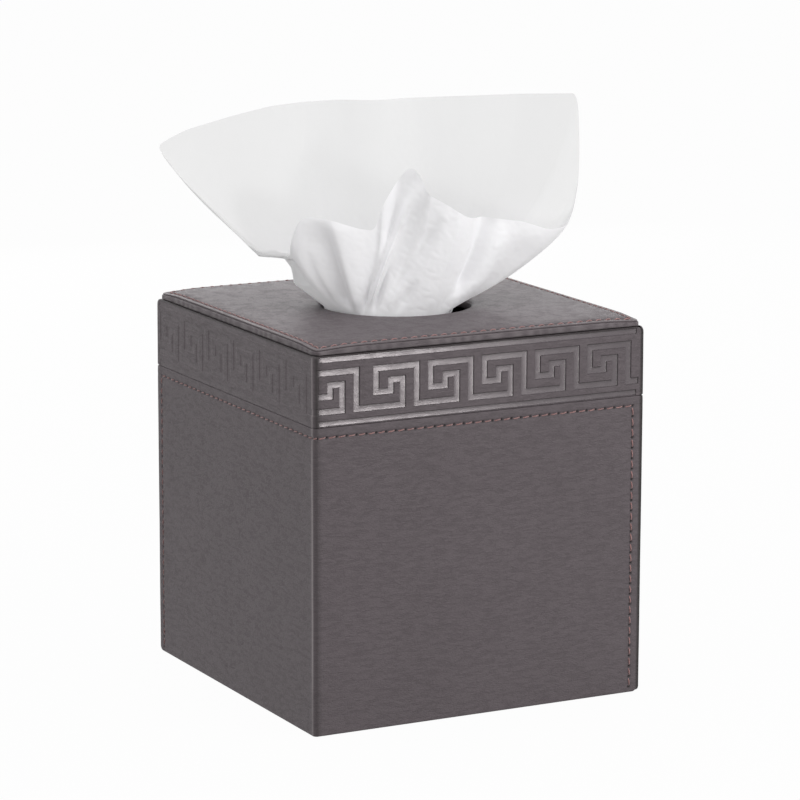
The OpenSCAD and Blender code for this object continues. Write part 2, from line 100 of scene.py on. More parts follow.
def length(name, description, size):
    """A length property; its default is given in millimetres."""
    return FloatProperty(name=name, description=description, default=size * MM, unit="LENGTH")


def colour(name, description, value):
    """A colour property, as linear red, green and blue."""
    return FloatVectorProperty(
        name=name, description=description, default=value, size=3, subtype="COLOR", min=0, max=1
    )


def amount(name, description, value):
    """A plain number property."""
    return FloatProperty(name=name, description=description, default=value)


def bearing(name, description, degrees):
    """An angle property; its default is given in degrees."""
    return FloatProperty(
        name=name, description=description, default=math.radians(degrees), subtype="ANGLE"
    )


class LeatherSizes(bpy.types.PropertyGroup):
    corner_r: length("Folded corner", "Radius of the folded upright corners", 1.8)
    panel_corner_r: length("Panel corner", "Radius of a panel's corners at its free end", 2)
    seam_corner_r: length("Seam corner", "Radius of a panel's corners at the seam", 0.8)
    base_r: length("Base edge", "Rounding of the leather at the base", 0.6)
    seam_r: length("Seam edge", "Rounding of the leather at the seam", 0.4)
    crease_r: length("Crease edge", "Rounding of the leather under the top", 0.7)
    waviness: length("Waviness", "Height of the slow waves of the leather on its boards", 0.06)
    key_period: length("Key period", "Length of one repeat of the key", 21.82)
    key_h: length("Key height", "Height of the key over its outer runs", 16.3)
    key_stroke: length("Stroke", "Width of a pressed stroke", 2.4)
    key_depth: length("Stroke depth", "Depth of a pressed stroke", 0.4)
    key_bevel: length("Stroke bevel", "Width of the slope at a stroke's edge", 0.26)
    key_fade: length("Key fade", "Way past the folded corner over which the strokes grow clear", 1.2)
    # Also scales the holes' painted shade and the strokes' lighter colour on the side wall
    side_share: amount("Side press", "Share of the front's press and polish on the side wall", 0.32)
    key_start: length("Key start", "Start of the first key; below zero it starts before the fold", -0.5)
    key_join: length("Key join", "Extra gap after the front's first key", 2.15)
    key_end: length("Key end", "Plain field at a wall's free end", 1.5)
    rail_w: length("Rail width", "Width of the pressed rails above and below the key", 2)
    rail_field: length("Rail field", "Plain field between the lower rail and the key", 2.1)
    rail_top: length("Upper rail gap", "Distance of the upper rail from the crease", 0.4)
    rail_end: length("Rail end", "Distance of the rails' ends from a wall's free end", 2.4)


class StitchSizes(bpy.types.PropertyGroup):
    pitch: length("Pitch", "Distance from one stitch to the next", 3.95)
    thread_d: length("Thread", "Diameter of the thread", 0.45)
    slant: length("Slant", "Sideways run of one stitch", 0.55)
    dive: length("Dive", "Depth to which a stitch's ends go into their holes", 0.75)
    proud: length("Proud", "Height of a stitch's middle over the leather", 0.12)
    hem: length("Hem", "Distance of the wall stitches from a folded edge", 3.6)
    foot: length("Foot", "Height of the lowest stitch over the base", 2.2)
    top_hem: length("Top hem", "Distance of the top stitches from the sheet's edge", 2.2)
    hole_r: length("Hole", "Radius of a needle hole", 0.42)
    hole_depth: length("Hole depth", "Depth of the leather's dip at a needle hole", 0.7)
    start_share: amount("Start", "Share of the pitch that a stitch leaves free after its hole", 0.14)
    groove_depth: length("Groove depth", "Depth of the leather's dip along a row", 0.16)


class TopSizes(bpy.types.PropertyGroup):
    mouth_r: length("Mouth radius", "Radius of the round mouth", 28)
    mouth_roll: length("Mouth roll", "Radius at which the leather rolls into the mouth", 2)
    sheet_corner_r: length("Sheet corner", "Radius of the top leather's corners", 2.2)
    board_corner_r: length("Board corner", "Radius of the top board's corners", 1.5)
    lip_out: length("Lip", "Reach of the thinned edges past their solids", 0.35)
    lip_t: length("Lip thickness", "Thickness of the top leather at its thinned edge", 0.68)
    border_w: length("Border", "Width of the border that slopes down to the sheet's edge", 6.5)
    border_drop: length("Border drop", "Drop of that border at the sheet's edge", 0.5)
    corner_w: length("Corner reach", "Reach of the extra drop at the corners of the top", 9)
    corner_drop: length("Corner drop", "Extra drop where the leather is pulled over a corner", 0.8)
    roll_depth: length("Roll depth", "Depth of the rolled edge's round side", 0.5)
    roll_gap: length("Roll gap", "Gap under the rolled edge", 0.1)
    crown: length("Crown", "Rise of the padded top towards the mouth", 0.45)
    pad_inset: length("Pad inset", "Distance of the pad's edge from the board's edge", 2)
    hem_band: length("Hem band", "Width of the flat band along the sheet's edge", 4)
    roll_wrinkle: length("Roll wrinkles", "Height of the small wrinkles of the rolled edge", 0.09)


class TissueSizes(bpy.types.PropertyGroup):
    width: length("Width", "Width of the tissue's spread above the mouth", 159)
    depth: length("Depth", "Depth of the tissue's spread, front to back", 42)
    rise: length("Rise", "Height that the tissue stands above the mouth", 82)
    tuck: length("Tuck", "Depth of the tucked middle below the rim", 9)
    pleat: length("Pleats", "Height of the pleats and folds", 3)
    gap: length("Gap", "Width of the gap at the right of the mouth", 5)
    lift: length("Lift", "Lift of the tissue over that gap", 3)
    gather: length("Gathers", "Depth of the small gathers along the mouth", 0.9)
    notch: length("Notch", "Depth of the notch under the left flap of the tissue", 10)
    notch_z: length("Notch height", "Height of that notch above the top", 19.3)
    play: length("Play", "Clearance of the tissue from the mouth", 0.7)
    bunch: length("Bunching", "Height of the bunched folds of the tucked middle", 4.2)
    crumple: length("Crumple", "Height of the finest crumples", 0.18)
    flat_w: length("Cut width", "Width of the tissue before it was folded", 180)
    flat_l: length("Cut length", "Length of the tissue before it was folded", 190)
    turn: bearing("Turn", "Turn of the spread from the front", -15)


class FinishColours(bpy.types.PropertyGroup):
    leather: colour("Leather", "Grey brown leather", (0.088, 0.0725, 0.0795))
    leather_low: colour("Leather grain", "The leather's darker grain", (0.049, 0.040, 0.044))
    # Partly the polished leather's own colour, partly a painted highlight: lighter, to stand in for the
    # strokes' glint
    pressed: colour("Pressed leather", "Polished leather of the strokes", (0.090, 0.0775, 0.0835))
    # Colour of the painted highlights along the fold, the top's edge and the rolled edge
    worn: colour("Worn leather", "Leather rubbed lighter along its edges", (0.30, 0.27, 0.275))
    thread: colour("Thread", "Red brown sewing thread", (0.46, 0.225, 0.215))
    # The single layer is darker and the bunched layers lighter than the paper's own white: partly
    # because more layers are whiter, partly as painted light that evens out the shade in the folds
    tissue: colour("Tissue", "One thin layer of white paper tissue", (0.73, 0.73, 0.73))
    gathered: colour("Gathered tissue", "Gathered layers of it", (0.96, 0.955, 0.97))
    through: colour("Light through it", "Light that the tissue lets through", (0.81, 0.81, 0.81))
    board: colour("Board", "Dense greyboard", (0.36, 0.30, 0.22))
    lining: colour("Lining", "Dark lining fabric", (0.030, 0.028, 0.028))
    foam: colour("Foam", "Pale foam", (0.62, 0.61, 0.56))
    steel: colour("Steel", "Bare steel", (0.55, 0.55, 0.57))
    floor: colour("Floor", "Pale floor, as it lights the cover", (0.44, 0.44, 0.44))


class StudioValues(bpy.types.PropertyGroup):
    lens: amount("Lens", "Focal length of the camera in millimetres", 172.03)
    camera_x: length("Camera x", "Place of the camera, to the right", -647.8)
    camera_y: length("Camera y", "Place of the camera, to the back", -1244.7)
    camera_z: length("Camera z", "Height of the camera", 389.4)
    sky: amount("Sky", "Strength of the even light from all round", 0.8)
    key_power: amount("Key light", "Power of the large light above, in watts", 6.5)
    card_power: amount("Card", "Power of the low light that the pressed strokes mirror", 0.58)
    front_power: amount("Front light", "Power of the light before and above the front, in watts", 0.8)
    back_power: amount("Back light", "Power of the light that the top mirrors, in watts", 3.0)
    yaw: bearing("Yaw", "Turn of the camera to the right", 27.562)
    pitch: bearing("Pitch", "Tilt of the camera downwards", 11.477)
    roll: bearing("Roll", "Roll of the camera", 0.143)


class BoxCoverSettings(bpy.types.PropertyGroup):
    leather: PointerProperty(type=LeatherSizes, name="Leather", description="Sizes of the leather")
    stitches: PointerProperty(type=StitchSizes, name="Stitches", description="Sizes of the sewing")
    top: PointerProperty(type=TopSizes, name="Top", description="Sizes of the top")
    tissue: PointerProperty(type=TissueSizes, name="Tissue", description="Sizes of the tissue")
    colours: PointerProperty(type=FinishColours, name="Colours", description="Colours of all pieces")
    studio: PointerProperty(type=StudioValues, name="Studio", description="Camera and lights")


# Small shaping functions
def mix(a, b, t):
    """a where t is 0, b where it is 1, and even steps between."""
    return a + (b - a) * t


def smooth(t):
    """0 below 0 and 1 above 1, with a level start and end."""
    t = np.clip(t, 0, 1)
    return t * t * (3 - 2 * t)


def bell(t):
    """1 at 0, falling off on both sides as e to the power of minus t squared."""
    return np.exp(-t * t)


def slow_waves(x, y, reach, seed):
    """Soft uneven waves of about that reach: the mean of five crossed cosines, between -1 and 1."""
    count = 5
    total = 0
    for i in range(count):
        turn = seed + 2.4 * i
        stretch = 2 * math.pi / (reach * (0.7 + 0.17 * i))
        total = total + np.cos((x * math.cos(turn) + y * math.sin(turn)) * stretch + 1.7 * turn)
    return total / count


QUARTER_SHARES = 1 - np.cos(np.linspace(0, math.pi / 2, 5))
LEAST_STEP = 0.04 * MM


def grid_lines(*parts, low, high, step):
    """Sorted lines from low to high: the parts' own, and even ones where a gap is wider than step."""
    lines = np.unique(np.concatenate([np.ravel(p) for p in parts] + [[low, high]]))
    lines = lines[(lines >= low) & (lines <= high)]
    lines = lines[np.diff(lines, prepend=-1e9) > LEAST_STEP]
    lines[-1] = high
    counts = np.maximum(np.ceil(np.diff(lines) / step).astype(int), 1)
    pieces = [
        np.linspace(a, b, n, endpoint=False) for a, b, n in zip(lines[:-1], lines[1:], counts)
    ]
    return np.concatenate(pieces + [[high]])


def grid_faces(rows, cols, close_rows=False, close_cols=False):
    """Quads of a grid numbered row by row, whose rows and columns may close on themselves."""
    r = np.arange(rows if close_rows else rows - 1)[:, None]
    c = np.arange(cols if close_cols else cols - 1)[None, :]
    r1, c1 = (r + 1) % rows, (c + 1) % cols
    quads = np.stack([r * cols + c, r * cols + c1, r1 * cols + c1, r1 * cols + c], -1)
    return quads.reshape(-1, 4)


# Materials
class Number:
    """A number that comes out of a socket. Arithmetic on it adds Math nodes to its material."""

    def __init__(self, finish, socket):
        self.finish, self.socket = finish, socket

    def _math(self, operation, a, b):
        return self.finish.node("ShaderNodeMath", {"operation": operation}, {0: a, 1: b})

    def __add__(self, other):
        return self._math("ADD", self, other)

    def __sub__(self, other):
        return self._math("SUBTRACT", self, other)

    def __rsub__(self, other):
        return self._math("SUBTRACT", other, self)

    def __mul__(self, other):
        return self._math("MULTIPLY", self, other)

    __radd__, __rmul__ = __add__, __mul__


class Finish:
    """A material or a world that is being built."""

    def __init__(self, name, kind="materials"):
        self.owner = getattr(bpy.data, kind).new(name)
        self.owner.use_nodes = True
        self.tree = self.owner.node_tree
        self.tree.nodes.clear()

    def node(self, kind, settings=None, values=None, out=0):
        """Adds any node, with its settings first and then the values or links of its sockets, and
        gives back one of the sockets that come out of it."""
        made = self.tree.nodes.new(kind)
        for name, value in (settings or {}).items():
            if name == "stops":
                for stop, (place, tone) in zip(made.color_ramp.elements, value):
                    stop.position, stop.color = place, (tone, tone, tone, 1)
            else:
                setattr(made, name, value)
        for name, value in (values or {}).items():
            socket = made.inputs[name]
            if isinstance(value, Number):
                self.tree.links.new(value.socket, socket)
            elif hasattr(value, "__len__") and len(value) == 3 and socket.type == "RGBA":
                socket.default_value = (*value, 1)
            else:
                socket.default_value = value
        return Number(self, made.outputs[out]) if made.outputs else None

    def coordinates(self, scale=(1, 1, 1)):
        """Object coordinates, times the scale."""
        place = self.node("ShaderNodeTexCoord", out="Object")
        return self.node("ShaderNodeMapping", None, {"Vector": place, "Scale": scale})

    def noise(self, vector, scale, detail=3.0, roughness=0.5, distortion=0.0):
        return self.node(
            "ShaderNodeTexNoise", None,
            {"Vector": vector, "Scale": scale, "Detail": detail, "Roughness": roughness,
             "Distortion": distortion},
        )

    def cells(self, vector, scale, feature="DISTANCE_TO_EDGE"):
        return self.node(
            "ShaderNodeTexVoronoi", {"feature": feature}, {"Vector": vector, "Scale": scale}
        )

    def ramp(self, value, *stops):
        return self.node("ShaderNodeValToRGB", {"stops": stops}, {"Fac": value})

    def blend(self, factor, a, b):
        """Colour a where factor is 0 and b where it is 1."""
        return self.node(
            "ShaderNodeMix", {"data_type": "RGBA"}, {0: factor, 6: a, 7: b}, out=2
        )

    def attribute(self, name):
        return self.node("ShaderNodeAttribute", {"attribute_name": name}, out="Fac")

    def bump(self, height, distance, strength=1.0):
        return self.node(
            "ShaderNodeBump", None,
            {"Height": height, "Distance": distance, "Strength": strength}, out="Normal",
        )

    def surface(self, **sockets):
        """The shader itself; a socket's name is given with _ for its spaces."""
        values = {name.replace("_", " "): value for name, value in sockets.items()}
        return self.node("ShaderNodeBsdfPrincipled", None, values)

    def seen(self):
        """1 for the camera's own rays and for mirrored and passing ones, 0 for light on matt faces."""
        rays = ("Camera", "Glossy", "Transmission")
        return sum(self.node("ShaderNodeLightPath", out=f"Is {ray} Ray") for ray in rays)

    def either(self, factor, a, b):
        """Shader a where the factor is 0 and b where it is 1."""
        return self.node("ShaderNodeMixShader", None, {0: factor, 1: a, 2: b})

    def done(self, shader, output="ShaderNodeOutputMaterial"):
        self.node(output, None, {"Surface": shader})
        return self.owner


# Colour of the painted shade in needle holes, folds, seams, creases, under the rolled edge and in the
# mouth
PAINTED_SHADE_COLOUR = (0.008, 0.006, 0.006)


def leather_finish(colours, name="grey_leather", pressed=False):
    """Grey brown leather with fine creases that run mostly level, pebbled between them.

    Vertex values named pit paint shade into needle holes, folds, seams and creases,
    worn paints highlights along edges, and pressed polishes the strokes and lightens
    them, partly as a painted highlight of their glint."""
    f = Finish(name)
    place = f.coordinates((1, 1, 2.3))
    drift = f.node(
        "ShaderNodeTexNoise", None, {"Vector": place, "Scale": 160.0, "Detail": 2.0}, out="Color"
    )
    warped = f.node(
        "ShaderNodeMix", {"data_type": "VECTOR"}, {0: 0.0016, 4: place, 5: drift}, out=1
    )
    pebbles = f.ramp(f.cells(warped, 620.0), (0.0, 0.0), (0.16, 1.0))
    folds = f.noise(f.coordinates((1, 1, 3.6)), 210.0, 6.0, 0.62, 0.6)
    creases = f.ramp(folds, (0.40, 0.0), (0.56, 1.0))
    fine = f.noise(place, 1900.0, 2.0)
    tone = f.noise(f.coordinates(), 24.0, 3.0)
    height = pebbles * 0.34 + creases * 0.46 + fine * 0.2
    cover = height * 0.62 + tone * 0.38
    base = f.blend(cover, tuple(colours.leather_low), tuple(colours.leather))
    rough = 0.66 - height * 0.14
    if pressed:
        stroke = f.attribute("pressed")
        # The strokes' colour, lightened in part as a painted highlight of their glint
        base = f.blend(stroke * 0.8, base, tuple(colours.pressed))
        rough = rough - stroke * 0.36
        height = height * (1 - stroke * 0.92)
    # Painted highlights, broken into patches by the tone
    highlight_patches = f.ramp(tone, (0.3, 0.35), (0.6, 1.0))
    base = f.blend(f.attribute("worn") * highlight_patches, base, tuple(colours.worn))
    # Painted shade: near black where shade falls in holes, folds, seams and creases
    base = f.blend(f.attribute("pit"), base, PAINTED_SHADE_COLOUR)
    return f.done(f.surface(
        Base_Color=base, Roughness=rough, Normal=f.bump(height, 0.16 * MM, 0.75),
        Specular_IOR_Level=0.5, Specular_Tint=(1, 0.93, 0.94, 1),
    ))


def thread_finish(colours):
    """Waxed two ply thread: slanted ply lines from the UV map, with painted shade between the plies."""
    f = Finish("red_brown_thread")
    uv = f.node("ShaderNodeTexCoord", out="UV")
    ply = f.node(
        "ShaderNodeTexWave", {"wave_type": "BANDS", "bands_direction": "DIAGONAL"},
        {"Vector": uv, "Scale": 1.6, "Distortion": 0.4},
    )
    fuzz = f.noise(f.coordinates(), 3800.0, 2.0)
    # Painted shade between the plies
    dark = tuple(0.45 * c for c in colours.thread)
    base = f.blend(ply * 0.7 + fuzz * 0.3, dark, tuple(colours.thread))
    return f.done(f.surface(
        Base_Color=base, Roughness=0.6, Normal=f.bump(ply + fuzz * 0.4, 0.08 * MM),
        Sheen_Weight=0.3, Sheen_Roughness=0.5,
    ))


def tissue_finish(colours):
    """Soft two ply paper: cloudy pulp, fine creping across the sheet, light let through, and its
    bunched parts painted lighter against their shade.
    """
    f = Finish("white_tissue")
    uv = f.node("ShaderNodeTexCoord", out="UV")
    creped = f.node("ShaderNodeMapping", None, {"Vector": uv, "Scale": (1, 5, 1)})
    crepe = f.noise(creped, 1400.0, 3.0)
    pulp = f.noise(f.coordinates(), 260.0, 5.0, 0.6)
    clouds = f.noise(f.coordinates(), 70.0, 3.0)
    cloud = 1 - (clouds * 0.6 + pulp * 0.4) * 0.03
    gathered = f.attribute("gathered")
    # Painted light: the bunched layers lighter and the single layer darker, against the shade of the
    # folds
    white = f.blend(gathered, tuple(colours.tissue), tuple(colours.gathered))
    base = f.blend(cloud, (0, 0, 0), white)
    normal = f.bump(crepe * 0.5 + pulp * 0.5, 0.09 * MM, 0.6)
    paper = f.surface(Base_Color=base, Roughness=0.92, Normal=normal, Specular_IOR_Level=0.12,
                      Sheen_Weight=0.1)
    through = f.node(
        "ShaderNodeBsdfTranslucent", None, {"Color": tuple(colours.through), "Normal": normal}
    )
    return f.done(f.either(0.5 - gathered * 0.25, paper, through))


def board_finish(colours):
    """Greyboard: pressed fibres in layers, with darker flecks."""
    f = Finish("greyboard")
    fibres = f.noise(f.coordinates((1, 1, 4)), 420.0, 6.0, 0.65)
    flecks = f.ramp(f.noise(f.coordinates(), 900.0, 2.0), (0.60, 0.0), (0.72, 1.0))
    dark = tuple(0.55 * c for c in colours.board)
    base = f.blend(fibres, dark, tuple(colours.board))
    base = f.blend(flecks * 0.4, base, dark)
    return f.done(f.surface(Base_Color=base, Roughness=0.9, Normal=f.bump(fibres, 0.2 * MM)))


def lining_finish(colours):
    """Dark woven lining: crossed threads that bulge over and under each other."""
    f = Finish("lining_fabric")
    place = f.coordinates()
    warp, cross, level = (
        f.node("ShaderNodeTexWave", {"wave_type": "BANDS", "bands_direction": way},
               {"Vector": place, "Scale": 520.0, "Distortion": 0.3})
        for way in "XYZ"
    )
    weave = warp * 0.34 + cross * 0.33 + level * 0.33
    slub = f.noise(place, 180.0, 3.0)
    light = tuple(min(2.4 * c, 1) for c in colours.lining)
    base = f.blend(weave * 0.7 + slub * 0.3, tuple(colours.lining), light)
    return f.done(f.surface(
        Base_Color=base, Roughness=0.95, Normal=f.bump(weave, 0.2 * MM), Sheen_Weight=0.25
    ))


def foam_finish(colours):
    """Open foam: small cells in a pale body, with painted shade in the cells."""
    f = Finish("pale_foam")
    pores = f.ramp(f.cells(f.coordinates(), 1500.0, "F1"), (0.1, 0.0), (0.7, 1.0))
    # Painted shade in the foam's cells
    dark = tuple(0.6 * c for c in colours.foam)
    base = f.blend(pores, dark, tuple(colours.foam))
    return f.done(f.surface(Base_Color=base, Roughness=0.95, Normal=f.bump(pores, 0.2 * MM)))


def steel_finish(colours, name, grain, rough):
    """Brushed or plated steel: fine lines along X, with soft clouds of wear."""
    f = Finish(name)
    lines = f.noise(f.coordinates((grain, 6, 6)), 900.0, 4.0)
    clouds = f.noise(f.coordinates(), 200.0, 3.0)
    dark = tuple(0.8 * c for c in colours.steel)
    base = f.blend(clouds, dark, tuple(colours.steel))
    return f.done(f.surface(
        Base_Color=base, Metallic=1.0, Roughness=rough + lines * 0.16,
        Normal=f.bump(lines, 0.02 * MM, 0.4),
    ))


WHITE = (1, 1, 1)
# Share of the floor's glow in what the camera sees of it; the rest keeps the shadow
GLOW_SHARE = 0.97


def floor_finish(colours):
    """White floor that keeps its soft shadow: most of what the camera sees of it glows evenly."""
    f = Finish("white_floor")
    mottle = f.noise(f.coordinates(), 3.0, 2.0)
    low = tuple(0.985 * c for c in colours.floor)
    matt = f.surface(Base_Color=f.blend(mottle, low, tuple(colours.floor)), Roughness=0.9,
                     Specular_IOR_Level=0.1)
    glow = f.node("ShaderNodeEmission", None, {"Color": WHITE, "Strength": 1.0})
    return f.done(f.either(f.seen() * GLOW_SHARE, matt, glow))


def sky_finish(strength):
    """Even light from all round, seen as plain white by the camera and in reflections."""
    f = Finish("even_sky", "worlds")
    light = f.node("ShaderNodeBackground", None, {"Color": WHITE, "Strength": strength})
    plain = f.node("ShaderNodeBackground", None, {"Color": WHITE, "Strength": 1.0})
    return f.done(f.either(f.seen(), light, plain), "ShaderNodeOutputWorld")


def shared_finish(name, maker, *details):
    """The finish of that name, made once."""
    found = bpy.data.materials.get(name)
    return found if found else maker(*details)


def leather(colours):
    """The leather of everything but the pressed bands."""
    return shared_finish("grey_leather", leather_finish, colours)


# Meshes
def make_piece(name, points, faces, material, uv=None, values=None, sharp=42.0, merge=False):
    """A mesh object from arrays: points, faces, and per point its UV and its named values."""
    mesh = bpy.data.meshes.new(name)
    mesh.from_pydata(points.tolist(), [], faces if isinstance(faces, list) else faces.tolist())
    corner_points = np.empty(len(mesh.loops), np.int32)
    mesh.loops.foreach_get("vertex_index", corner_points)
    if uv is not None:
        layer = mesh.uv_layers.new(name="surface")
        layer.uv.foreach_set("vector", uv[corner_points].astype(np.float32).ravel())
    for key, field in (values or {}).items():
        made = mesh.attributes.new(key, "FLOAT", "POINT")
        made.data.foreach_set("value", np.ravel(field).astype(np.float32))
    if merge:
        work = bmesh.new()
        work.from_mesh(mesh)
        bmesh.ops.remove_doubles(work, verts=work.verts, dist=LEAST_STEP / 20)
        bmesh.ops.dissolve_degenerate(work, edges=work.edges, dist=LEAST_STEP / 40)
        work.to_mesh(mesh)
        work.free()
    mesh.shade_smooth()
    mesh.set_sharp_from_angle(angle=math.radians(sharp))
    mesh.materials.append(material)
    piece = bpy.data.objects.new(name, mesh)
    bpy.context.scene.collection.objects.link(piece)
    return piece


def ring_piece(name, points, material, uv=None, values=None):
    """A piece from rows of closed rings, whose last row meets the first."""
    faces = grid_faces(*points.shape[:2], close_rows=True, close_cols=True)
    return make_piece(name, points.reshape(-1, 3), faces, material, uv, values)


def wall_point(s, depth, z, corner_r, half_turn):
    """Point of a wrap of leather: s runs along the front from the folded corner, and along the left
    wall where it is negative. At the corner it follows a quarter circle of radius corner_r less
    depth. The second wrap is the first one turned by half a turn."""
    least_bend = 0.05 * MM
    bend = np.maximum(corner_r - depth, least_bend)
    centre = depth + bend
    turn = np.clip((s + corner_r) / (2 * corner_r), 0, 1) * math.pi / 2
    front = centre + (s - corner_r) / (FRONT_L - corner_r) * (FRONT_L - centre)
    left = centre + (-s - corner_r) / (LEFT_L - corner_r) * (LEFT_L - centre)
    x = np.where(s > corner_r, front, np.where(s < -corner_r, depth, centre - bend * np.cos(turn)))
    y = np.where(s > corner_r, depth, np.where(s < -corner_r, left, centre - bend * np.sin(turn)))
    side = -1 if half_turn else 1
    return np.stack([side * (COVER_LOW[0] + x), side * (COVER_LOW[1] + y), z + 0 * s], -1)


def round_corners(s, z, box, radii):
    """Moves a grid's points into an outline with round corners: each corner's square goes to a
    quarter disc, by (a, b) to (a root(1 - b b / 2), b root(1 - a a / 2))."""
    (s0, s1), (z0, z1) = box
    new_s, new_z = s.copy(), z.copy()
    for end, way_s in ((s0, -1), (s1, 1)):
        for level, way_z, r in ((z0, -1, radii[0]), (z1, 1, radii[1])):
            a = way_s * (s - end) / r + 1
            b = way_z * (z - level) / r + 1
            inside = (a > 0) & (b > 0)
            a, b = np.clip(a, 0, 1), np.clip(b, 0, 1)
            new_s = np.where(inside, end + way_s * r * (a * np.sqrt(1 - b * b / 2) - 1), new_s)
            new_z = np.where(inside, level + way_z * r * (b * np.sqrt(1 - a * a / 2) - 1), new_z)
    return new_s, new_z


def edge_distance(s, z, box, radii):
    """Distance from the outline with round corners, inwards."""
    (s0, s1), (z0, z1) = box
    across = np.minimum(s - s0, s1 - s)
    up = np.minimum(z - z0, z1 - z)
    r = np.where(z - z0 < z1 - z, radii[0], radii[1])
    qa, qb = np.maximum(r - across, 0), np.maximum(r - up, 0)
    return np.maximum(np.where((qa > 0) & (qb > 0), r - np.hypot(qa, qb), np.minimum(across, up)), 0)


def rounded_edge(distance, r):
    """How far a rounded edge of radius r falls away at a distance from its outline."""
    return r - np.sqrt(np.maximum(r * r - np.clip(r - distance, 0, r) ** 2, 0))


# Painted shade in the seams at a wrap's free ends, and just past its fold, where its share is the
# first one on the lower leather and the second one on the band
END_SHADE = 0.6 * MM
FOLD_SHADE = 1.2 * MM
FOLD_SHADE_SHARES = (0.5, 0.95)
# Height and share of the painted shade in the crease under the top
CREASE_SHADE = 0.5 * MM
CREASE_SHADE_SHARE = 0.8
# The painted shade of the ends and of the crease has run out at this many times its width
SHADE_END = 1.4
# The painted highlight beside the fold: its share, and its place and half width in radii of the fold
FOLD_HIGHLIGHT_SHARE, FOLD_HIGHLIGHT_PLACE, FOLD_HIGHLIGHT_WIDTH = 0.8, -0.75, 0.3
# Way from a wrap's outline over which its relief sets in
RELIEF_MARGIN = 0.5 * MM
# The turned rim leans in towards places that are this many thicknesses within the outline
RIM_MARGIN = 1.2
# Keeps a division away from 0
TINY = 1e-9


def rim_rings(bs, bz, box, end_r, corner_r, half_turn, turned_low):
    """Three rings of points behind a wrap's outline. Where the leather turns in round the boards,
    they go back by both and inwards by its thickness; elsewhere they go back by its thickness."""
    (s0, s1), (z0, z1) = box
    level = bz < z0 + SKIN_AND_BOARD if turned_low else bz > z1 - SKIN_AND_BOARD
    turned = (bs > s1 - end_r) | (level & (bs > s0 + SKIN_AND_BOARD))
    margin = RIM_MARGIN * LEATHER_T
    aim_s = np.clip(bs, s0 + margin, s1 - margin)
    aim_z = np.clip(bz, z0 + margin, z1 - margin)
    inset = np.where(turned, LEATHER_T, 0) / (np.hypot(aim_s - bs, aim_z - bz) + TINY)
    in_s, in_z = bs + (aim_s - bs) * inset, bz + (aim_z - bz) * inset
    deep = np.where(turned, SKIN_AND_BOARD, LEATHER_T)
    return [
        wall_point(bs, deep, bz, corner_r, half_turn),
        wall_point(in_s, deep, in_z, corner_r, half_turn),
        wall_point(in_s, 0 * deep + LEATHER_T, in_z, corner_r, half_turn),
    ]


def back_faces(ring, s_lines, rows, corner_r):
    """The plain back of a wrap on its innermost ring: quads across the fold, and one flat face
    behind each wall."""
    fold = np.flatnonzero(np.abs(s_lines) <= corner_r + LEAST_STEP)
    columns = np.arange(fold[0], fold[-1] + 1)
    above = 2 * (len(s_lines) - 1) + (rows - 1) - columns
    bend = np.stack([ring[columns[:-1]], ring[above[:-1]], ring[above[1:]], ring[columns[1:]]], -1)
    front = ring[columns[-1] : above[-1] + 1][::-1]
    left = np.concatenate([ring[above[0] :], ring[: columns[0] + 1]])[::-1]
    return bend, [front.tolist(), left.tolist()]


def wrap_piece(name, s_lines, z_lines, edge_radii, corner_radii, corner_r, relief, half_turn,
               material, turned_low):
    """One wrap of leather as a closed skin: an outer grid of places along the walls and heights,
    sunk by relief and rounded at its edges, a rim turned round the boards, and a plain back."""
    rows, cols = len(z_lines), len(s_lines)
    box = ((s_lines[0], s_lines[-1]), (z_lines[0], z_lines[-1]))
    s, z = np.meshgrid(s_lines, z_lines)
    s, z = round_corners(s, z, box, corner_radii)
    rise = (z - z_lines[0]) / (z_lines[-1] - z_lines[0])
    away = edge_distance(s, z, box, corner_radii)
    depth = rounded_edge(away, mix(edge_radii[0], edge_radii[1], rise))
    sunk, values = relief(s, z)
    sunk = sunk * smooth(away / RELIEF_MARGIN)
    to_end = np.minimum(s - box[0][0], box[0][1] - s)
    # Painted shade in the seams at a wrap's free ends and in the hollow just past its fold
    end_shade = smooth(SHADE_END - to_end / END_SHADE)
    fold_shade = FOLD_SHADE_SHARES[0 if turned_low else 1] * bell((s - FOLD_SHADE) / FOLD_SHADE)
    values["pit"] = np.maximum(values["pit"], np.maximum(end_shade, fold_shade))
    # A painted highlight along the fold's rounded edge
    off_fold = (s - FOLD_HIGHLIGHT_PLACE * corner_r) / (FOLD_HIGHLIGHT_WIDTH * corner_r)
    values["worn"] = FOLD_HIGHLIGHT_SHARE * bell(off_fold)
    outer = wall_point(s, depth + sunk, z, corner_r, half_turn).reshape(-1, 3)
    index = np.arange(rows * cols).reshape(rows, cols)
    border = np.concatenate([index[0, :-1], index[:-1, -1], index[-1, :0:-1], index[:0:-1, 0]])
    n = len(border)
    bs, bz = s.ravel()[border], z.ravel()[border]
    rings = rim_rings(bs, bz, box, corner_radii[0], corner_r, half_turn, turned_low)
    ring_index = [border] + [np.arange(n) + rows * cols + i * n for i in range(len(rings))]
    faces = [grid_faces(rows, cols)]
    for a, b in zip(ring_index[:-1], ring_index[1:]):
        faces.append(np.stack([np.roll(a, -1), a, b, np.roll(b, -1)], -1))
    bend, flat_backs = back_faces(ring_index[-1], s_lines, rows, corner_r)
    all_faces = np.concatenate(faces + [bend]).tolist() + flat_backs
    points = np.concatenate([outer] + rings)

    def with_rings(field):
        return np.concatenate([field.ravel(), np.tile(field.ravel()[border], len(rings))])

    uv = np.stack([with_rings(s), with_rings(z)], -1)
    fields = {key: with_rings(field) for key, field in values.items()}
    return make_piece(name, points, all_faces, material, uv, fields, merge=True)


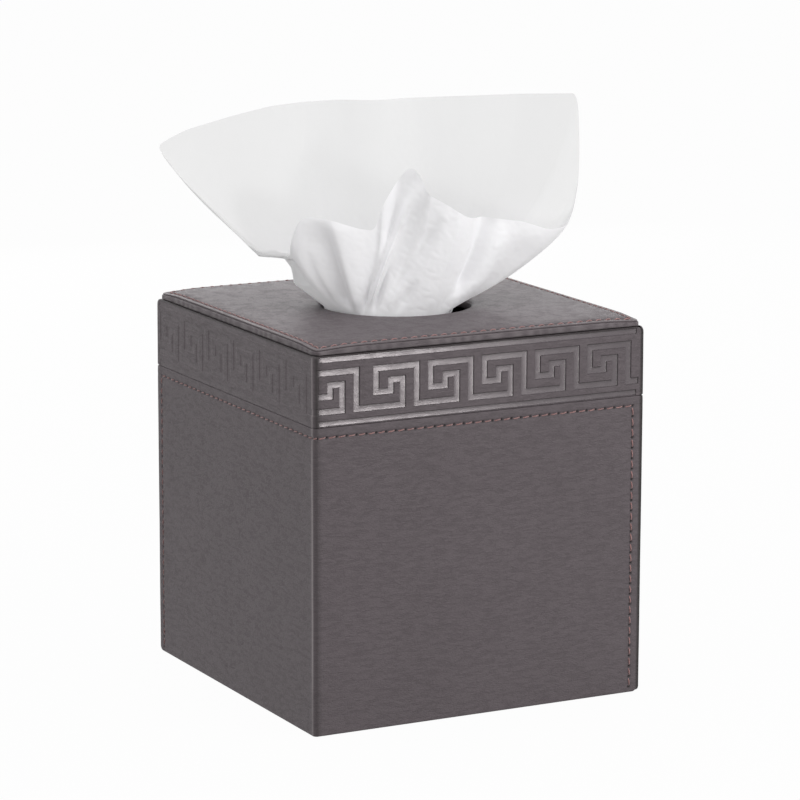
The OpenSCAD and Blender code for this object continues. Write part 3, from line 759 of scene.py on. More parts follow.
# Both wraps: the walls that they cover, and whether they are turned by half a turn
WRAPS = (("front_left", False), ("back_right", True))


# Grid lines: beside a hole and across a sewn row in radii of a hole, at a panel's corners in radii of
# the corner, and how many go over the fold
HOLE_STEPS = np.array([-1.9, -0.85, 0, 0.85, 1.9])
ROW_STEPS = np.array([-3, -1.8, -0.9, 0, 0.9, 1.8, 3])
CORNER_STEPS = np.array([0.5, 0.75, 1, 1.4])
FOLD_LINES = 9


def along_lines(sizes, *parts, step):
    """Grid lines along a wrap: the parts' own, and those of its fold and its free ends."""
    corner = sizes.panel_corner_r * CORNER_STEPS
    edge = sizes.seam_r * QUARTER_SHARES
    return grid_lines(
        *parts, np.linspace(-sizes.corner_r, sizes.corner_r, FOLD_LINES),
        FRONT_L - corner, corner - LEFT_L, FRONT_L - edge, edge - LEFT_L,
        low=-LEFT_L, high=FRONT_L, step=step,
    )


def wall_holes(stitches):
    """Needle holes of one wrap: places along the level row, their row height, and the heights of
    the holes in the upright rows. The level row's corner stitch goes round the folded corner."""
    row_z = SEAM_Z - stitches.hem
    first = stitches.pitch / 3
    ends = {"front": FRONT_L - stitches.hem, "left": LEFT_L - stitches.hem}
    level = {}
    for wall, end in ends.items():
        count = round((end - first) / stitches.pitch)
        level[wall] = np.linspace(first, end, count + 1)
    count = round((row_z - stitches.foot) / stitches.pitch)
    upright = np.linspace(row_z, stitches.foot, count + 1)
    return row_z, level, ends, upright


def hole_lines(holes, stitches):
    """Grid lines through each hole and to its sides."""
    return holes[:, None] + HOLE_STEPS * stitches.hole_r


def nearest_distance(values, marks):
    """Distance of each value from the nearest mark, by position in the sorted marks."""
    marks = np.sort(marks)
    at = np.clip(np.searchsorted(marks, values), 1, len(marks) - 1)
    return np.minimum(np.abs(values - marks[at - 1]), np.abs(values - marks[at]))


# In radii of a hole: half widths of a sewn row's groove and of the dip at a hole, and the distance
# from a hole's middle where its painted shade has run out
GROOVE_WIDTH, DIP_WIDTH, HOLE_SHADE_END = 1.7, 0.85, 1.65


def sewn_dip(nearest, across, stitches):
    """Dip of the leather along a sewn row and at its holes, and the painted shade in the holes' middle.
    """
    from_hole = np.hypot(nearest, across) / stitches.hole_r
    groove = stitches.groove_depth * bell(across / (GROOVE_WIDTH * stitches.hole_r))
    hole = stitches.hole_depth * bell(from_hole / DIP_WIDTH)
    return groove + hole, smooth(HOLE_SHADE_END - from_hole)


class BOXCOVER_OT_lower_leather(bpy.types.Operator):
    """Adds the two wraps of lower leather, with the dips of their stitches"""

    bl_idname = "boxcover.lower_leather"
    bl_label = "Lower Leather"

    def execute(self, context):
        settings = context.scene.box_cover
        sizes, stitches = settings.leather, settings.stitches
        row_z, level, ends, upright = wall_holes(stitches)
        row_steps = ROW_STEPS * stitches.hole_r
        step = 2.2 * MM
        s_lines = along_lines(
            sizes, hole_lines(level["front"], stitches), -hole_lines(level["left"], stitches),
            ends["front"] + row_steps, -ends["left"] + row_steps, step=step,
        )
        z_lines = grid_lines(
            hole_lines(upright, stitches), row_z + row_steps, sizes.panel_corner_r * CORNER_STEPS,
            sizes.base_r * QUARTER_SHARES, SEAM_Z - sizes.seam_r * QUARTER_SHARES,
            low=0.0, high=SEAM_Z, step=step,
        )
        all_level = np.concatenate([level["front"], -level["left"]])

        def relief(s, z):
            dip, pit = sewn_dip(nearest_distance(s, all_level), z - row_z, stitches)
            across = np.where(s > 0, s - ends["front"], -s - ends["left"])
            below = z < row_z + stitches.pitch / 2
            side_dip, side_painted_shade = sewn_dip(nearest_distance(z, upright), across, stitches)
            waves = slow_waves(s, z, 34 * MM, seed=0.6) + 0.5 * slow_waves(s, z, 11 * MM, seed=2.1)
            sunk = np.maximum(dip, side_dip * below) + sizes.waviness * waves
            # The holes' painted shade is full on the front and only side_share of it on the left wall
            clear = np.where(s > 0, 1, sizes.side_share)
            return sunk, {"pit": clear * np.maximum(pit, side_painted_shade * below)}

        for side, half_turn in WRAPS:
            piece = wrap_piece(
                f"lower_leather_{side}", s_lines, z_lines, (sizes.base_r, sizes.seam_r),
                (sizes.panel_corner_r, sizes.seam_corner_r), sizes.corner_r, relief, half_turn,
                leather(settings.colours), turned_low=True,
            )
            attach(piece, "cover")
            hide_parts(f"{side}_panel")
        return {"FINISHED"}


# Key pattern: its columns as shares of its period and its inner runs as shares of its height
KEY_COLUMN_SHARES = (0, 0.27, 0.487, 0.745)
KEY_RUN_SHARES = (0.33, 0.575)
KEY_LEAD_SHARE = 0.27


def key_strokes(sizes):
    """One repeat of the key as rectangles (x0, z0, x1, z1) over the outside of its strokes."""
    period, w, top = sizes.key_period, sizes.key_stroke, sizes.key_h
    c = [share * period for share in KEY_COLUMN_SHARES]
    run = [share * top for share in KEY_RUN_SHARES]
    return np.array([
        (c[3] - period, 0, c[2] + w, w),
        (c[2], 0, c[2] + w, run[1] + w),
        (c[1], run[1], c[2] + w, run[1] + w),
        (c[1], run[0], c[1] + w, run[1] + w),
        (c[0], run[0], c[1] + w, run[0] + w),
        (c[0], run[0], c[0] + w, top),
        (c[0], top - w, c[3] + w, top),
        (c[3], 0, c[3] + w, top),
        (c[3], 0, c[3] + KEY_LEAD_SHARE * period, w),
    ])


def wall_strokes(sizes):
    """Pressed rectangles of both walls, as places along the wrap and heights."""
    key = key_strokes(sizes)
    key_l = KEY_COLUMN_SHARES[3] * sizes.key_period + sizes.key_stroke
    key_z = SEAM_Z + sizes.seam_r + sizes.rail_w + sizes.rail_field
    room = FRONT_L - sizes.key_end - sizes.key_start - sizes.key_join - key_l
    starts = [sizes.key_start] + [
        sizes.key_start + sizes.key_join + i * sizes.key_period
        for i in range(1, int(room / sizes.key_period) + 1)
    ]
    front = np.concatenate([key + [x, key_z, x, key_z] for x in starts])
    front[:, [0, 2]] = np.clip(front[:, [0, 2]], sizes.key_start, FRONT_L - sizes.key_end)
    count = int((LEFT_L - sizes.key_end + sizes.key_start) / sizes.key_period)
    ends = [i * sizes.key_period - sizes.key_start for i in range(1, count + 1)]
    left = np.concatenate([
        np.stack([x - key[:, 2], key[:, 1] + key_z, x - key[:, 0], key[:, 3] + key_z], -1)
        for x in ends
    ])
    left[:, [0, 2]] = np.clip(left[:, [0, 2]], sizes.key_start, LEFT_L - sizes.key_end)
    left = np.stack([-left[:, 2], left[:, 1], -left[:, 0], left[:, 3]], -1)
    rails = [
        (x0, z, x1, z + sizes.rail_w)
        for z in (SEAM_Z + sizes.seam_r, WALL_H - sizes.rail_top - sizes.rail_w)
        for x0, x1 in ((sizes.corner_r, FRONT_L - sizes.rail_end),
                       (sizes.rail_end - LEFT_L, -sizes.corner_r))
    ]
    keys = np.concatenate([front, left])
    return keys[keys[:, 2] - keys[:, 0] > sizes.key_bevel], np.array(rails)


def pressed_share(s, z, strokes, bevel):
    """How far a point is pressed in, from 0 to 1: full inside any stroke, with a soft slope of the
    bevel's width along its edges."""
    share = np.zeros_like(s)
    for x0, z0, x1, z1 in strokes:
        across = smooth((s - x0) / bevel + 0.5) * smooth((x1 - s) / bevel + 0.5)
        up = smooth((z - z0) / bevel + 0.5) * smooth((z1 - z) / bevel + 0.5)
        share = np.maximum(share, across * up)
    return share


# Grid lines across a stroke's slope, in widths of the slope
SLOPE_STEPS = np.array([-1.5, -0.5, -0.2, 0.2, 0.5, 1.5])
# Share of a stroke's depth that has a soft slope of its own, and its width in widths of the slope
PILLOW_SHARE, PILLOW_WIDTH = 0.14, 5
# The painted shadow inside a stroke's upper and right edges: its width in widths of the slope, and its
# share on the left wall and on the front
EDGE_SHADOW_WIDTH = 1.4
EDGE_SHADOW_SHARES = (0.1, 0.62)


class BOXCOVER_OT_pressed_bands(bpy.types.Operator):
    """Adds the two bands of leather with the pressed key pattern"""

    bl_idname = "boxcover.pressed_bands"
    bl_label = "Pressed Bands"

    def execute(self, context):
        settings = context.scene.box_cover
        sizes = settings.leather
        keys, rails = wall_strokes(sizes)
        strokes = np.concatenate([keys, rails])
        bevel = sizes.key_bevel
        slope = bevel * SLOPE_STEPS
        s_lines = along_lines(sizes, strokes[:, [0, 2]].ravel()[:, None] + slope, step=1.6 * MM)
        z_lines = grid_lines(
            strokes[:, [1, 3]].ravel()[:, None] + slope,
            SEAM_Z + sizes.seam_r * QUARTER_SHARES, WALL_H - sizes.crease_r * QUARTER_SHARES,
            low=SEAM_Z, high=WALL_H, step=1.2 * MM,
        )
        shadow_w = EDGE_SHADOW_WIDTH * bevel

        def relief(s, z):
            front = smooth((s - sizes.key_fade) / sizes.key_fade)
            clear = mix(sizes.side_share, 1, front)
            share = pressed_share(s, z, strokes, bevel) * clear
            pillow = PILLOW_SHARE * pressed_share(s, z, strokes, PILLOW_WIDTH * bevel)
            waves = sizes.waviness * slow_waves(s, z, 30 * MM, seed=1.3)
            sunk = sizes.key_depth * ((1 - PILLOW_SHARE) * share + pillow) + waves
            # Painted shadow inside a stroke's upper and right edges, where its walls shade it; weaker
            # on the left wall
            beside = np.minimum(pressed_share(s, z + shadow_w, strokes, bevel),
                                pressed_share(s + shadow_w, z, strokes, bevel))
            line = share * (1 - beside) * mix(*EDGE_SHADOW_SHARES, front)
            # Painted shade in the crease under the top
            crease = CREASE_SHADE_SHARE * smooth((z - WALL_H) / CREASE_SHADE + SHADE_END)
            return sunk, {"pressed": share * clear, "pit": np.maximum(line, crease)}

        finish = shared_finish("pressed_leather", leather_finish, settings.colours,
                               "pressed_leather", True)
        for side, half_turn in WRAPS:
            piece = wrap_piece(
                f"pressed_band_{side}", s_lines, z_lines, (sizes.seam_r, sizes.crease_r),
                (sizes.seam_corner_r, sizes.panel_corner_r), sizes.corner_r, relief, half_turn,
                finish, turned_low=False,
            )
            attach(piece, "cover")
            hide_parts(f"{side}_band")
        return {"FINISHED"}


# Sides and rows of a stitch's thread, and how often its plies turn along it
THREAD_SIDES, STITCH_ROWS, PLY_TURNS = 6, 7, 6
# Exponent of a stitch's arch: less is flatter on top
ARCH_POWER = 0.55


def stitch_tubes(centres, outward, radius):
    """Closed tubes along many short paths at once: a ring of the radius round each path's points,
    laid out by the path's direction and the outward direction."""
    (count, stations), sides = centres.shape[:2], THREAD_SIDES
    along = np.gradient(centres, axis=1)
    along /= np.linalg.norm(along, axis=-1, keepdims=True)
    side = np.cross(along, outward)
    side /= np.linalg.norm(side, axis=-1, keepdims=True)
    up = np.cross(side, along)
    turn = np.linspace(0, 2 * math.pi, sides, endpoint=False)
    ring = up[:, :, None] * np.cos(turn)[:, None] + side[:, :, None] * np.sin(turn)[:, None]
    points = centres[:, :, None] + radius * ring
    one = grid_faces(stations, sides, close_cols=True)
    start = (np.arange(count) * stations * sides)[:, None, None]
    quads = (one[None] + start).reshape(-1, 4)
    low_cap = np.arange(sides)[::-1]
    high_cap = (stations - 1) * sides + np.arange(sides)
    caps = [(cap[None] + start[:, 0]) for cap in (low_cap, high_cap)]
    faces = quads.tolist() + caps[0].tolist() + caps[1].tolist()
    u = PLY_TURNS * np.arange(stations)[:, None] / (stations - 1) + np.zeros(sides)
    v = np.arange(sides) / sides + 0 * u
    uv = np.tile(np.stack([u, v], -1).reshape(-1, 2), (count, 1))
    return points.reshape(-1, 3), faces, uv


def stitch_arch(stitches):
    """Share along a stitch and its depth: it leaves one hole, arches over the leather, and dives."""
    t = np.linspace(0, 1, STITCH_ROWS)
    arch = np.sin(math.pi * t) ** ARCH_POWER
    along = mix(stitches.start_share, 1 - stitches.start_share / 2, t)
    return along, mix(stitches.dive, -stitches.proud, arch)


class BOXCOVER_OT_wall_stitches(bpy.types.Operator):
    """Adds the stitches of the two lower wraps, each a short arched thread"""

    bl_idname = "boxcover.wall_stitches"
    bl_label = "Wall Stitches"

    def execute(self, context):
        settings = context.scene.box_cover
        sizes, stitches = settings.leather, settings.stitches
        row_z, level, ends, upright = wall_holes(stitches)
        finish = shared_finish("red_brown_thread", thread_finish, settings.colours)
        t, depth = stitch_arch(stitches)
        row = np.concatenate([-level["left"][::-1], level["front"]])
        level_s = mix(row[:-1, None], row[1:, None], t)
        level_z = row_z + stitches.slant * (t - 0.5) + 0 * level_s
        sides_s, sides_z = [], []
        for end, way in ((ends["front"], 1), (-ends["left"], -1)):
            up_z = mix(upright[:-1, None], upright[1:, None], t)
            sides_z.append(up_z)
            sides_s.append(end + way * stitches.slant * (t - 0.5) + 0 * up_z)
        s = np.concatenate([level_s] + sides_s)
        z = np.concatenate([level_z] + sides_z)
        sunk = depth + np.where(s < 0, stitches.proud, 0)
        for side, half_turn in WRAPS:
            centres = wall_point(s, sunk, z, sizes.corner_r, half_turn)
            outward = centres - wall_point(s, sunk + MM, z, sizes.corner_r, half_turn)
            points, faces, uv = stitch_tubes(centres, outward, stitches.thread_d / 2)
            piece = make_piece(f"stitches_{side}", points, faces, finish, uv)
            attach(piece, "cover")
            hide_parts(f"{side}_thread")
        return {"FINISHED"}


def square_ring(shares, half, corner_r):
    """Points round a square of that half size with round corners. shares run from 0 to 4, one per
    side, starting at the front left corner and going to the right."""
    side, f = np.divmod(shares, 1.0)
    along = 2 * f - 1
    x = np.choose(side.astype(int) % 4, [along, 1 + 0 * f, -along, -1 + 0 * f]) * half
    y = np.choose(side.astype(int) % 4, [-1 + 0 * f, along, 1 + 0 * f, -along]) * half
    box = ((-half, half), (-half, half))
    return round_corners(x, y, box, (corner_r, corner_r))


def round_rows(shares, half, rows):
    """Rows of points round the square top. Each row is (inset, corner radius, circle radius,
    share of the circle, height): a rounded square, a circle, or a blend of both."""
    points = []
    for inset, corner_r, circle_r, blend, height in rows:
        x, y = square_ring(shares, half - inset, corner_r)
        angle = np.arctan2(y, x)
        ring = np.stack([
            mix(x, circle_r * np.cos(angle), blend), mix(y, circle_r * np.sin(angle), blend),
            height + 0 * x,
        ], -1)
        points.append(ring)
    return np.array(points)


def sheet_half(top):
    """Half the width of the top leather at its thinned edge."""
    return float(SHEET_HIGH[0]) + top.lip_out


def border_share(top, inset):
    """How far the top leather's border has dropped, from 1 at its edge to 0 past the border."""
    return 1 - smooth(inset / top.border_w)


def under_drop(top):
    """Drop of the top leather's underside at its edge; the rest of the drop is its thinning."""
    return top.border_drop - (LEATHER_T - top.lip_t)


def corner_drop(top, x, y):
    """Extra drop near the top's corners, a bell of the distance from the nearest one."""
    half = sheet_half(top)
    return top.corner_drop * bell(np.hypot(half - np.abs(x), half - np.abs(y)) / top.corner_w)


# Rows of the top leather: round its outer edge, over the field and down the roll
EDGE_ROWS, FIELD_ROWS, ROLL_ROWS = 9, 26, 8
# Rows across the sewn line in radii of a hole, and columns beside a corner in radii of the corner
HEM_STEPS = np.array([-2.4, -1.5, -0.8, -0.4, 0, 0.4, 0.8, 1.5, 2.4])
BESIDE_CORNER = np.array([0.3, 0.6, 0.9])
# Least corner radius of the rows within the hem, and the small turn at the collar's foot
INNER_CORNER_R = 0.35 * MM
COLLAR_TURN = 0.25 * MM
# Puckers beside the top stitches: height, distance from the sheet's edge and half width
PUCKER_H, PUCKER_INSET, PUCKER_W = 0.05 * MM, 3.4 * MM, 1.2 * MM
# The waves of the top start at the first distance from its edge and grow over the second
WAVES_INSET, WAVES_GROW = 3 * MM, 5 * MM
# Shares of the field where the crown is full, and where it falls away towards the mouth
CROWN_FULL, CROWN_FALL = 0.55, 0.86
# The painted highlight along the top's edge: its share, and its place and half width as a share of the
# top hem
EDGE_HIGHLIGHT_SHARE, EDGE_HIGHLIGHT_PLACE = 0.3, 0.35
# Share of the painted shade on the collar inside the mouth
COLLAR_SHADE_SHARE = 0.5
# The pad is pressed by this share of its thickness at most
PAD_PRESS_SHARE = 0.8


def before_mouth(field):
    """1 over most of the field, and 0 at the mouth. The field counts from 0 at the hem to 1 there."""
    return 1 - smooth((field - CROWN_FALL) / (1 - CROWN_FALL))


def crown_rise(top, field):
    """Rise of the padded top: it grows from the hem, and falls away at the mouth."""
    return top.crown * smooth(field / CROWN_FULL) * before_mouth(field)


def top_leather_rows(top, stitches):
    """Rows of the top leather: round its thinned edge, over the hem and the field, down the roll and
    the collar into the mouth, and back up and out on its underside."""
    sheet_z, lip = TOP_Z - LEATHER_T, top.lip_t / 2
    rows = []
    for a in np.linspace(-math.pi / 2, math.pi / 2, EDGE_ROWS):
        inset = lip * (1 - math.cos(a))
        rows.append((inset, top.sheet_corner_r - inset, 0, 0, sheet_z + lip + lip * math.sin(a)))
    for inset in stitches.top_hem + HEM_STEPS * stitches.hole_r:
        rows.append((inset, max(top.sheet_corner_r - inset, INNER_CORNER_R), 0, 0, TOP_Z))
    mouth_r, roll, under = top.mouth_r, top.mouth_roll, top.mouth_roll - LEATHER_T
    lip_r, roll_z, collar_z = mouth_r + roll, TOP_Z - roll, float(SHEET_LOW[2])
    inner = [(lip_r, t, TOP_Z) for t in np.linspace(0, 1, FIELD_ROWS)]
    inner += [
        (lip_r - roll * math.sin(a), 1, roll_z + roll * math.cos(a))
        for a in np.linspace(0, math.pi / 2, ROLL_ROWS + 1)[1:]
    ]
    inner += [
        (mouth_r, 1, mix(roll_z, collar_z, 0.5)),
        (mouth_r, 1, collar_z + COLLAR_TURN),
        (mouth_r + COLLAR_TURN, 1, collar_z),
        (mouth_r + LEATHER_T, 1, collar_z),
        (mouth_r + LEATHER_T, 1, roll_z),
    ]
    inner += [
        (lip_r - under * math.cos(a), 1, roll_z + under * math.sin(a))
        for a in (math.pi / 4, math.pi / 2)
    ]
    inner += [(lip_r, 0.5, sheet_z), (0, 0, sheet_z)]
    return rows + [(top.hem_band, INNER_CORNER_R, *row) for row in inner]


class BOXCOVER_OT_top_leather(bpy.types.Operator):
    """Adds the stitched leather of the top, rolled into the mouth, and the foam pad under it"""

    bl_idname = "boxcover.top_leather"
    bl_label = "Top Leather"

    def execute(self, context):
        settings = context.scene.box_cover
        top, stitches = settings.top, settings.stitches
        half = sheet_half(top)
        sewn_l = 2 * (half - stitches.top_hem)
        holes = round(sewn_l / stitches.pitch)
        step = stitches.hole_r / sewn_l
        near_hole = np.arange(4 * holes)[:, None] / holes + HOLE_STEPS * step
        corner = BESIDE_CORNER * top.sheet_corner_r / (2 * half)
        near_corner = np.arange(4)[:, None] + np.concatenate([-corner, corner])
        shares = np.unique(np.concatenate([near_hole.ravel(), near_corner.ravel()]) % 4)
        shares = shares[np.diff(shares, prepend=-1) > step / 8]
        rows = top_leather_rows(top, stitches)
        points = round_rows(shares, half, rows)
        first_roll = EDGE_ROWS + len(HEM_STEPS) + FIELD_ROWS
        row = np.arange(len(rows))[:, None]
        x, y = points[..., 0], points[..., 1]
        inset = half - np.maximum(np.abs(x), np.abs(y))
        field = np.array([place[3] for place in rows])[:, None] + 0 * x
        face = (row > EDGE_ROWS // 2) & (row < first_roll)
        above = face & (row >= EDGE_ROWS)
        in_hem = face & (field == 0)
        stitch = np.broadcast_to(shares, x.shape) * holes
        from_hole = np.abs((stitch + 0.5) % 1 - 0.5) * sewn_l / holes
        dip, pit = sewn_dip(from_hole, inset - stitches.top_hem, stitches)
        pucker = np.cos(2 * math.pi * stitch) * bell((inset - PUCKER_INSET) / PUCKER_W)
        waves = slow_waves(x, y, 40 * MM, seed=0.2) + 0.6 * slow_waves(x, y, 14 * MM, seed=1.9)
        waves = waves * smooth((inset - WAVES_INSET) / WAVES_GROW) * before_mouth(field)
        rise = crown_rise(top, field) + settings.leather.waviness * waves + PUCKER_H * pucker
        drop = border_share(top, inset) * np.where(above, top.border_drop, under_drop(top))
        points[..., 2] += np.where(face, rise, 0) - np.where(in_hem, dip, 0)
        points[..., 2] -= drop + corner_drop(top, x, y)
        # A painted highlight on the top leather near its edge
        highlight_at = EDGE_HIGHLIGHT_PLACE * stitches.top_hem
        worn = np.where(row < first_roll, EDGE_HIGHLIGHT_SHARE * bell((inset - highlight_at) / highlight_at), 0)
        # Painted shade in the top's needle holes and on the collar inside the mouth
        pit = np.where(in_hem, pit, np.where(row >= first_roll + ROLL_ROWS, COLLAR_SHADE_SHARE, 0))
        piece = ring_piece("top_leather_sheet", points, leather(settings.colours),
                           points[..., :2].reshape(-1, 2), {"pit": pit, "worn": worn})
        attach(piece, "cover")
        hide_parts("top_leather")
        self.foam(settings, shares[::4])
        return {"FINISHED"}

    def foam(self, settings, shares):
        """The pad: a flat underside on the board and a top that follows the leather's crown."""
        top = settings.top
        half = float(PAD_HIGH[0]) - top.pad_inset
        low, high = float(PAD_LOW[2]), float(PAD_HIGH[2])
        lip_r = top.mouth_r + top.mouth_roll
        rows = [(0, top.board_corner_r, 0, 0, z) for z in (low, high)]
        field_shares = np.linspace(0, 1, FIELD_ROWS // 2)
        rows += [(top.hem_band, INNER_CORNER_R, lip_r, t, high) for t in field_shares]
        rows += [(top.hem_band, INNER_CORNER_R, lip_r, t, low) for t in (1, 0.5)]
        points = round_rows(shares, half, rows)
        field = np.array([place[3] for place in rows])[:, None]
        above = np.array([place[4] > low for place in rows])[:, None]
        inset = sheet_half(top) - np.abs(points[..., :2]).max(-1)
        drop = under_drop(top) * border_share(top, inset)
        drop = np.minimum(drop + corner_drop(top, points[..., 0], points[..., 1]),
                          PAD_PRESS_SHARE * (high - low))
        points[..., 2] += np.where(above, crown_rise(top, field) - drop, 0)
        finish = shared_finish("pale_foam", foam_finish, settings.colours)
        pad = ring_piece("top_foam", points, finish)
        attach(pad, "cover")
        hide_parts("top_pad")


# Exponent of the rolled edge's round: 1 is an ellipse, and less is squarer
ROLL_SQUARENESS = 0.57
# Columns round the rolled edge, and rows over its round
ROLL_COLUMNS, ROUND_ROWS = 960, 15
# Painted shade under the rolled edge: its share, and the share of the height where it has run out
ROLL_SHADE_SHARE, ROLL_SHADE_RISE = 0.85, 0.3
# Painted highlight share of the rolled edge, and how much more or less of it its wrinkles' crests have
ROLL_HIGHLIGHT, WRINKLE_HIGHLIGHT = 0.13, 0.12


def wrinkles(around):
    """Fine and slow wrinkles along an edge: cosines of the way round, each with a slower wave of it
    in its phase."""
    fine = np.cos(around / (0.9 * MM) + 3 * np.cos(around / (5.3 * MM)))
    slow = np.cos(around / (2.9 * MM) + 2 * np.sin(around / (9.7 * MM)))
    return fine, slow


class BOXCOVER_OT_edge_roll(bpy.types.Operator):
    """Adds the rolled leather edge of the top board, with the small wrinkles of its turn"""

    bl_idname = "boxcover.edge_roll"
    bl_label = "Edge Roll"

    def execute(self, context):
        settings = context.scene.box_cover
        top = settings.top
        half, low = float(ROLL_HIGH[0]) + top.lip_out, float(ROLL_LOW[2]) + top.roll_gap
        high = TOP_Z - LEATHER_T - under_drop(top)
        r = (high - low) / 2
        inner = half - float(node_box("top_board")[1][0])
        shares = np.linspace(0, 4, ROLL_COLUMNS, endpoint=False)
        rows = [(inner, top.board_corner_r, 0, 0, low)]
        angles = np.linspace(-math.pi / 2, math.pi / 2, ROUND_ROWS)
        for a in angles:
            inset = top.roll_depth * (1 - abs(math.cos(a)) ** ROLL_SQUARENESS)
            rise = r * math.copysign(abs(math.sin(a)) ** ROLL_SQUARENESS, a)
            rows.append((inset, top.board_corner_r + inner - inset, 0, 0, (low + high) / 2 + rise))
        rows.append((inner, top.board_corner_r, 0, 0, high))
        points = round_rows(shares, half, rows)
        fine, slow = wrinkles(shares * 2 * half)
        bulge = np.concatenate([[0], np.cos(angles), [0]])[:, None]
        shrink = top.roll_wrinkle * bulge * (0.55 * fine + 0.45 * slow - 1)
        for axis in (0, 1):
            place = points[..., axis]
            points[..., axis] += shrink * np.sign(place) * (np.abs(place) > half - 2 * r)
        up = (points[..., 2] - low) / (high - low)
        points[..., 2] -= up * corner_drop(top, points[..., 0], points[..., 1])
        # Painted shade at the foot of the rolled edge, and painted highlights over it
        piece = ring_piece("rolled_edge", points, leather(settings.colours),
                           values={"pit": ROLL_SHADE_SHARE * (1 - smooth(up / ROLL_SHADE_RISE)),
                                   "worn": ROLL_HIGHLIGHT + WRINKLE_HIGHLIGHT * bulge * fine})
        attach(piece, "cover")
        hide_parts("top_edge_roll")
        return {"FINISHED"}


class BOXCOVER_OT_top_stitches(bpy.types.Operator):
    """Adds the stitches round the top leather"""

    bl_idname = "boxcover.top_stitches"
    bl_label = "Top Stitches"

    def execute(self, context):
        settings = context.scene.box_cover
        stitches = settings.stitches
        half = sheet_half(settings.top) - stitches.top_hem
        holes = round(2 * half / stitches.pitch)
        t, depth = stitch_arch(stitches)
        row_z = TOP_Z - settings.top.border_drop * border_share(settings.top, stitches.top_hem)
        paths = []
        for side in range(4):
            along = mix(-half, half, (np.arange(holes)[:, None] + t) / holes)
            across = -half + stitches.slant * (t - 0.5) + 0 * along
            turn = side * math.pi / 2
            x = along * math.cos(turn) - across * math.sin(turn)
            y = along * math.sin(turn) + across * math.cos(turn)
            paths.append(np.stack([x, y, row_z - depth - corner_drop(settings.top, x, y)], -1))
        centres = np.concatenate(paths)
        outward = np.zeros_like(centres) + (0, 0, 1)
        points, faces, uv = stitch_tubes(centres, outward, stitches.thread_d / 2)
        finish = shared_finish("red_brown_thread", thread_finish, settings.colours)
        piece = make_piece("stitches_top", points, faces, finish, uv)
        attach(piece, "cover")
        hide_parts("top_thread")
        return {"FINISHED"}


# The tissue: a square sheet tucked in at its middle. A turn is an angle round its free edge in degrees,
# from the right end of the spread through the back, the left end and the front. Each row is a turn,
# the free edge's place to the right, to the back and above the top as shares of the tissue's sizes,
# and the angle, beyond the turn, where the line down from there enters the mouth
EDGE_SHARES = [
    (0, 0.44, 0.07, 0.93, 0), (25, 0.31, 0.215, 0.925, -3), (55, 0.16, 0.31, 0.915, -3),
    (75, 0.065, 0.335, 0.91, -2), (95, -0.03, 0.345, 0.905, 0), (112, -0.115, 0.335, 0.91, 0),
    (125, -0.2, 0.31, 0.905, 0), (138, -0.285, 0.25, 0.895, 0), (150, -0.37, 0.19, 0.865, 0),
    (168, -0.49, 0.07, 0.81, 0), (174, -0.53, 0.01, 0.78, 0), (180, -0.565, -0.05, 0.745, 0),
    (188, -0.505, -0.095, 0.59, 0), (196, -0.425, -0.145, 0.43, 0), (204, -0.345, -0.215, 0.27, 0),
    (208, -0.27, -0.335, 0.235, -1), (212, -0.275, -0.45, 0.315, -2), (217, -0.265, -0.5, 0.4, -4),
    (221, -0.25, -0.525, 0.45, -5), (228, -0.185, -0.55, 0.435, -7),
    (236, -0.115, -0.525, 0.385, -9), (243, -0.08, -0.5, 0.375, -12),
    (248, -0.07, -0.5, 0.43, -15), (254, -0.06, -0.525, 0.495, -18),
    (260, -0.04, -0.525, 0.555, -21), (266, -0.01, -0.475, 0.625, -24),
    (269, 0.005, -0.475, 0.655, -26), (273, 0.025, -0.525, 0.625, -27),
    (278, 0.035, -0.645, 0.545, -29), (288, 0.075, -0.69, 0.5, -24),
    (297, 0.115, -0.69, 0.45, -13), (300, 0.14, -0.525, 0.42, -10),
    (310, 0.205, -0.475, 0.41, -10), (322, 0.275, -0.43, 0.39, -10),
    (332, 0.35, -0.285, 0.335, -8), (340, 0.405, -0.12, 0.335, -6), (346, 0.43, 0, 0.41, -4),
    (352, 0.445, 0.05, 0.555, -3), (356, 0.445, 0.06, 0.76, -2), (360, 0.44, 0.07, 0.93, 0),
]
# How steeply the sheet leaves the mouth, how much of its spread it reaches at once, and how far it
# is drawn in from the rim, by turn and by angle at the mouth
FLARE_SHARES = [
    (0, 1.7), (40, 2), (90, 1.4), (140, 1.2), (180, 1.15), (204, 1.1), (212, 1.5), (235, 1.8),
    (262, 1.5), (280, 1.6), (300, 1.5), (322, 1.35), (345, 1.3), (360, 1.7),
]
HIP_SHARES = [
    (0, 0.12), (30, 0.05), (60, 0), (296, 0), (305, 0.1), (322, 0.22), (345, 0.18), (360, 0.12),
]
GAP_SHARES = [
    (0, 1), (20, 1), (40, 0), (300, 0), (318, 0.6), (335, 1), (360, 1),
]
# Shares of the way up over which a fold sets in, over which it fades out, and over which all of them
# grow from the mouth
FOLD_IN, FOLD_OUT, FOLD_FOOT = 0.25, 0.3, 0.2
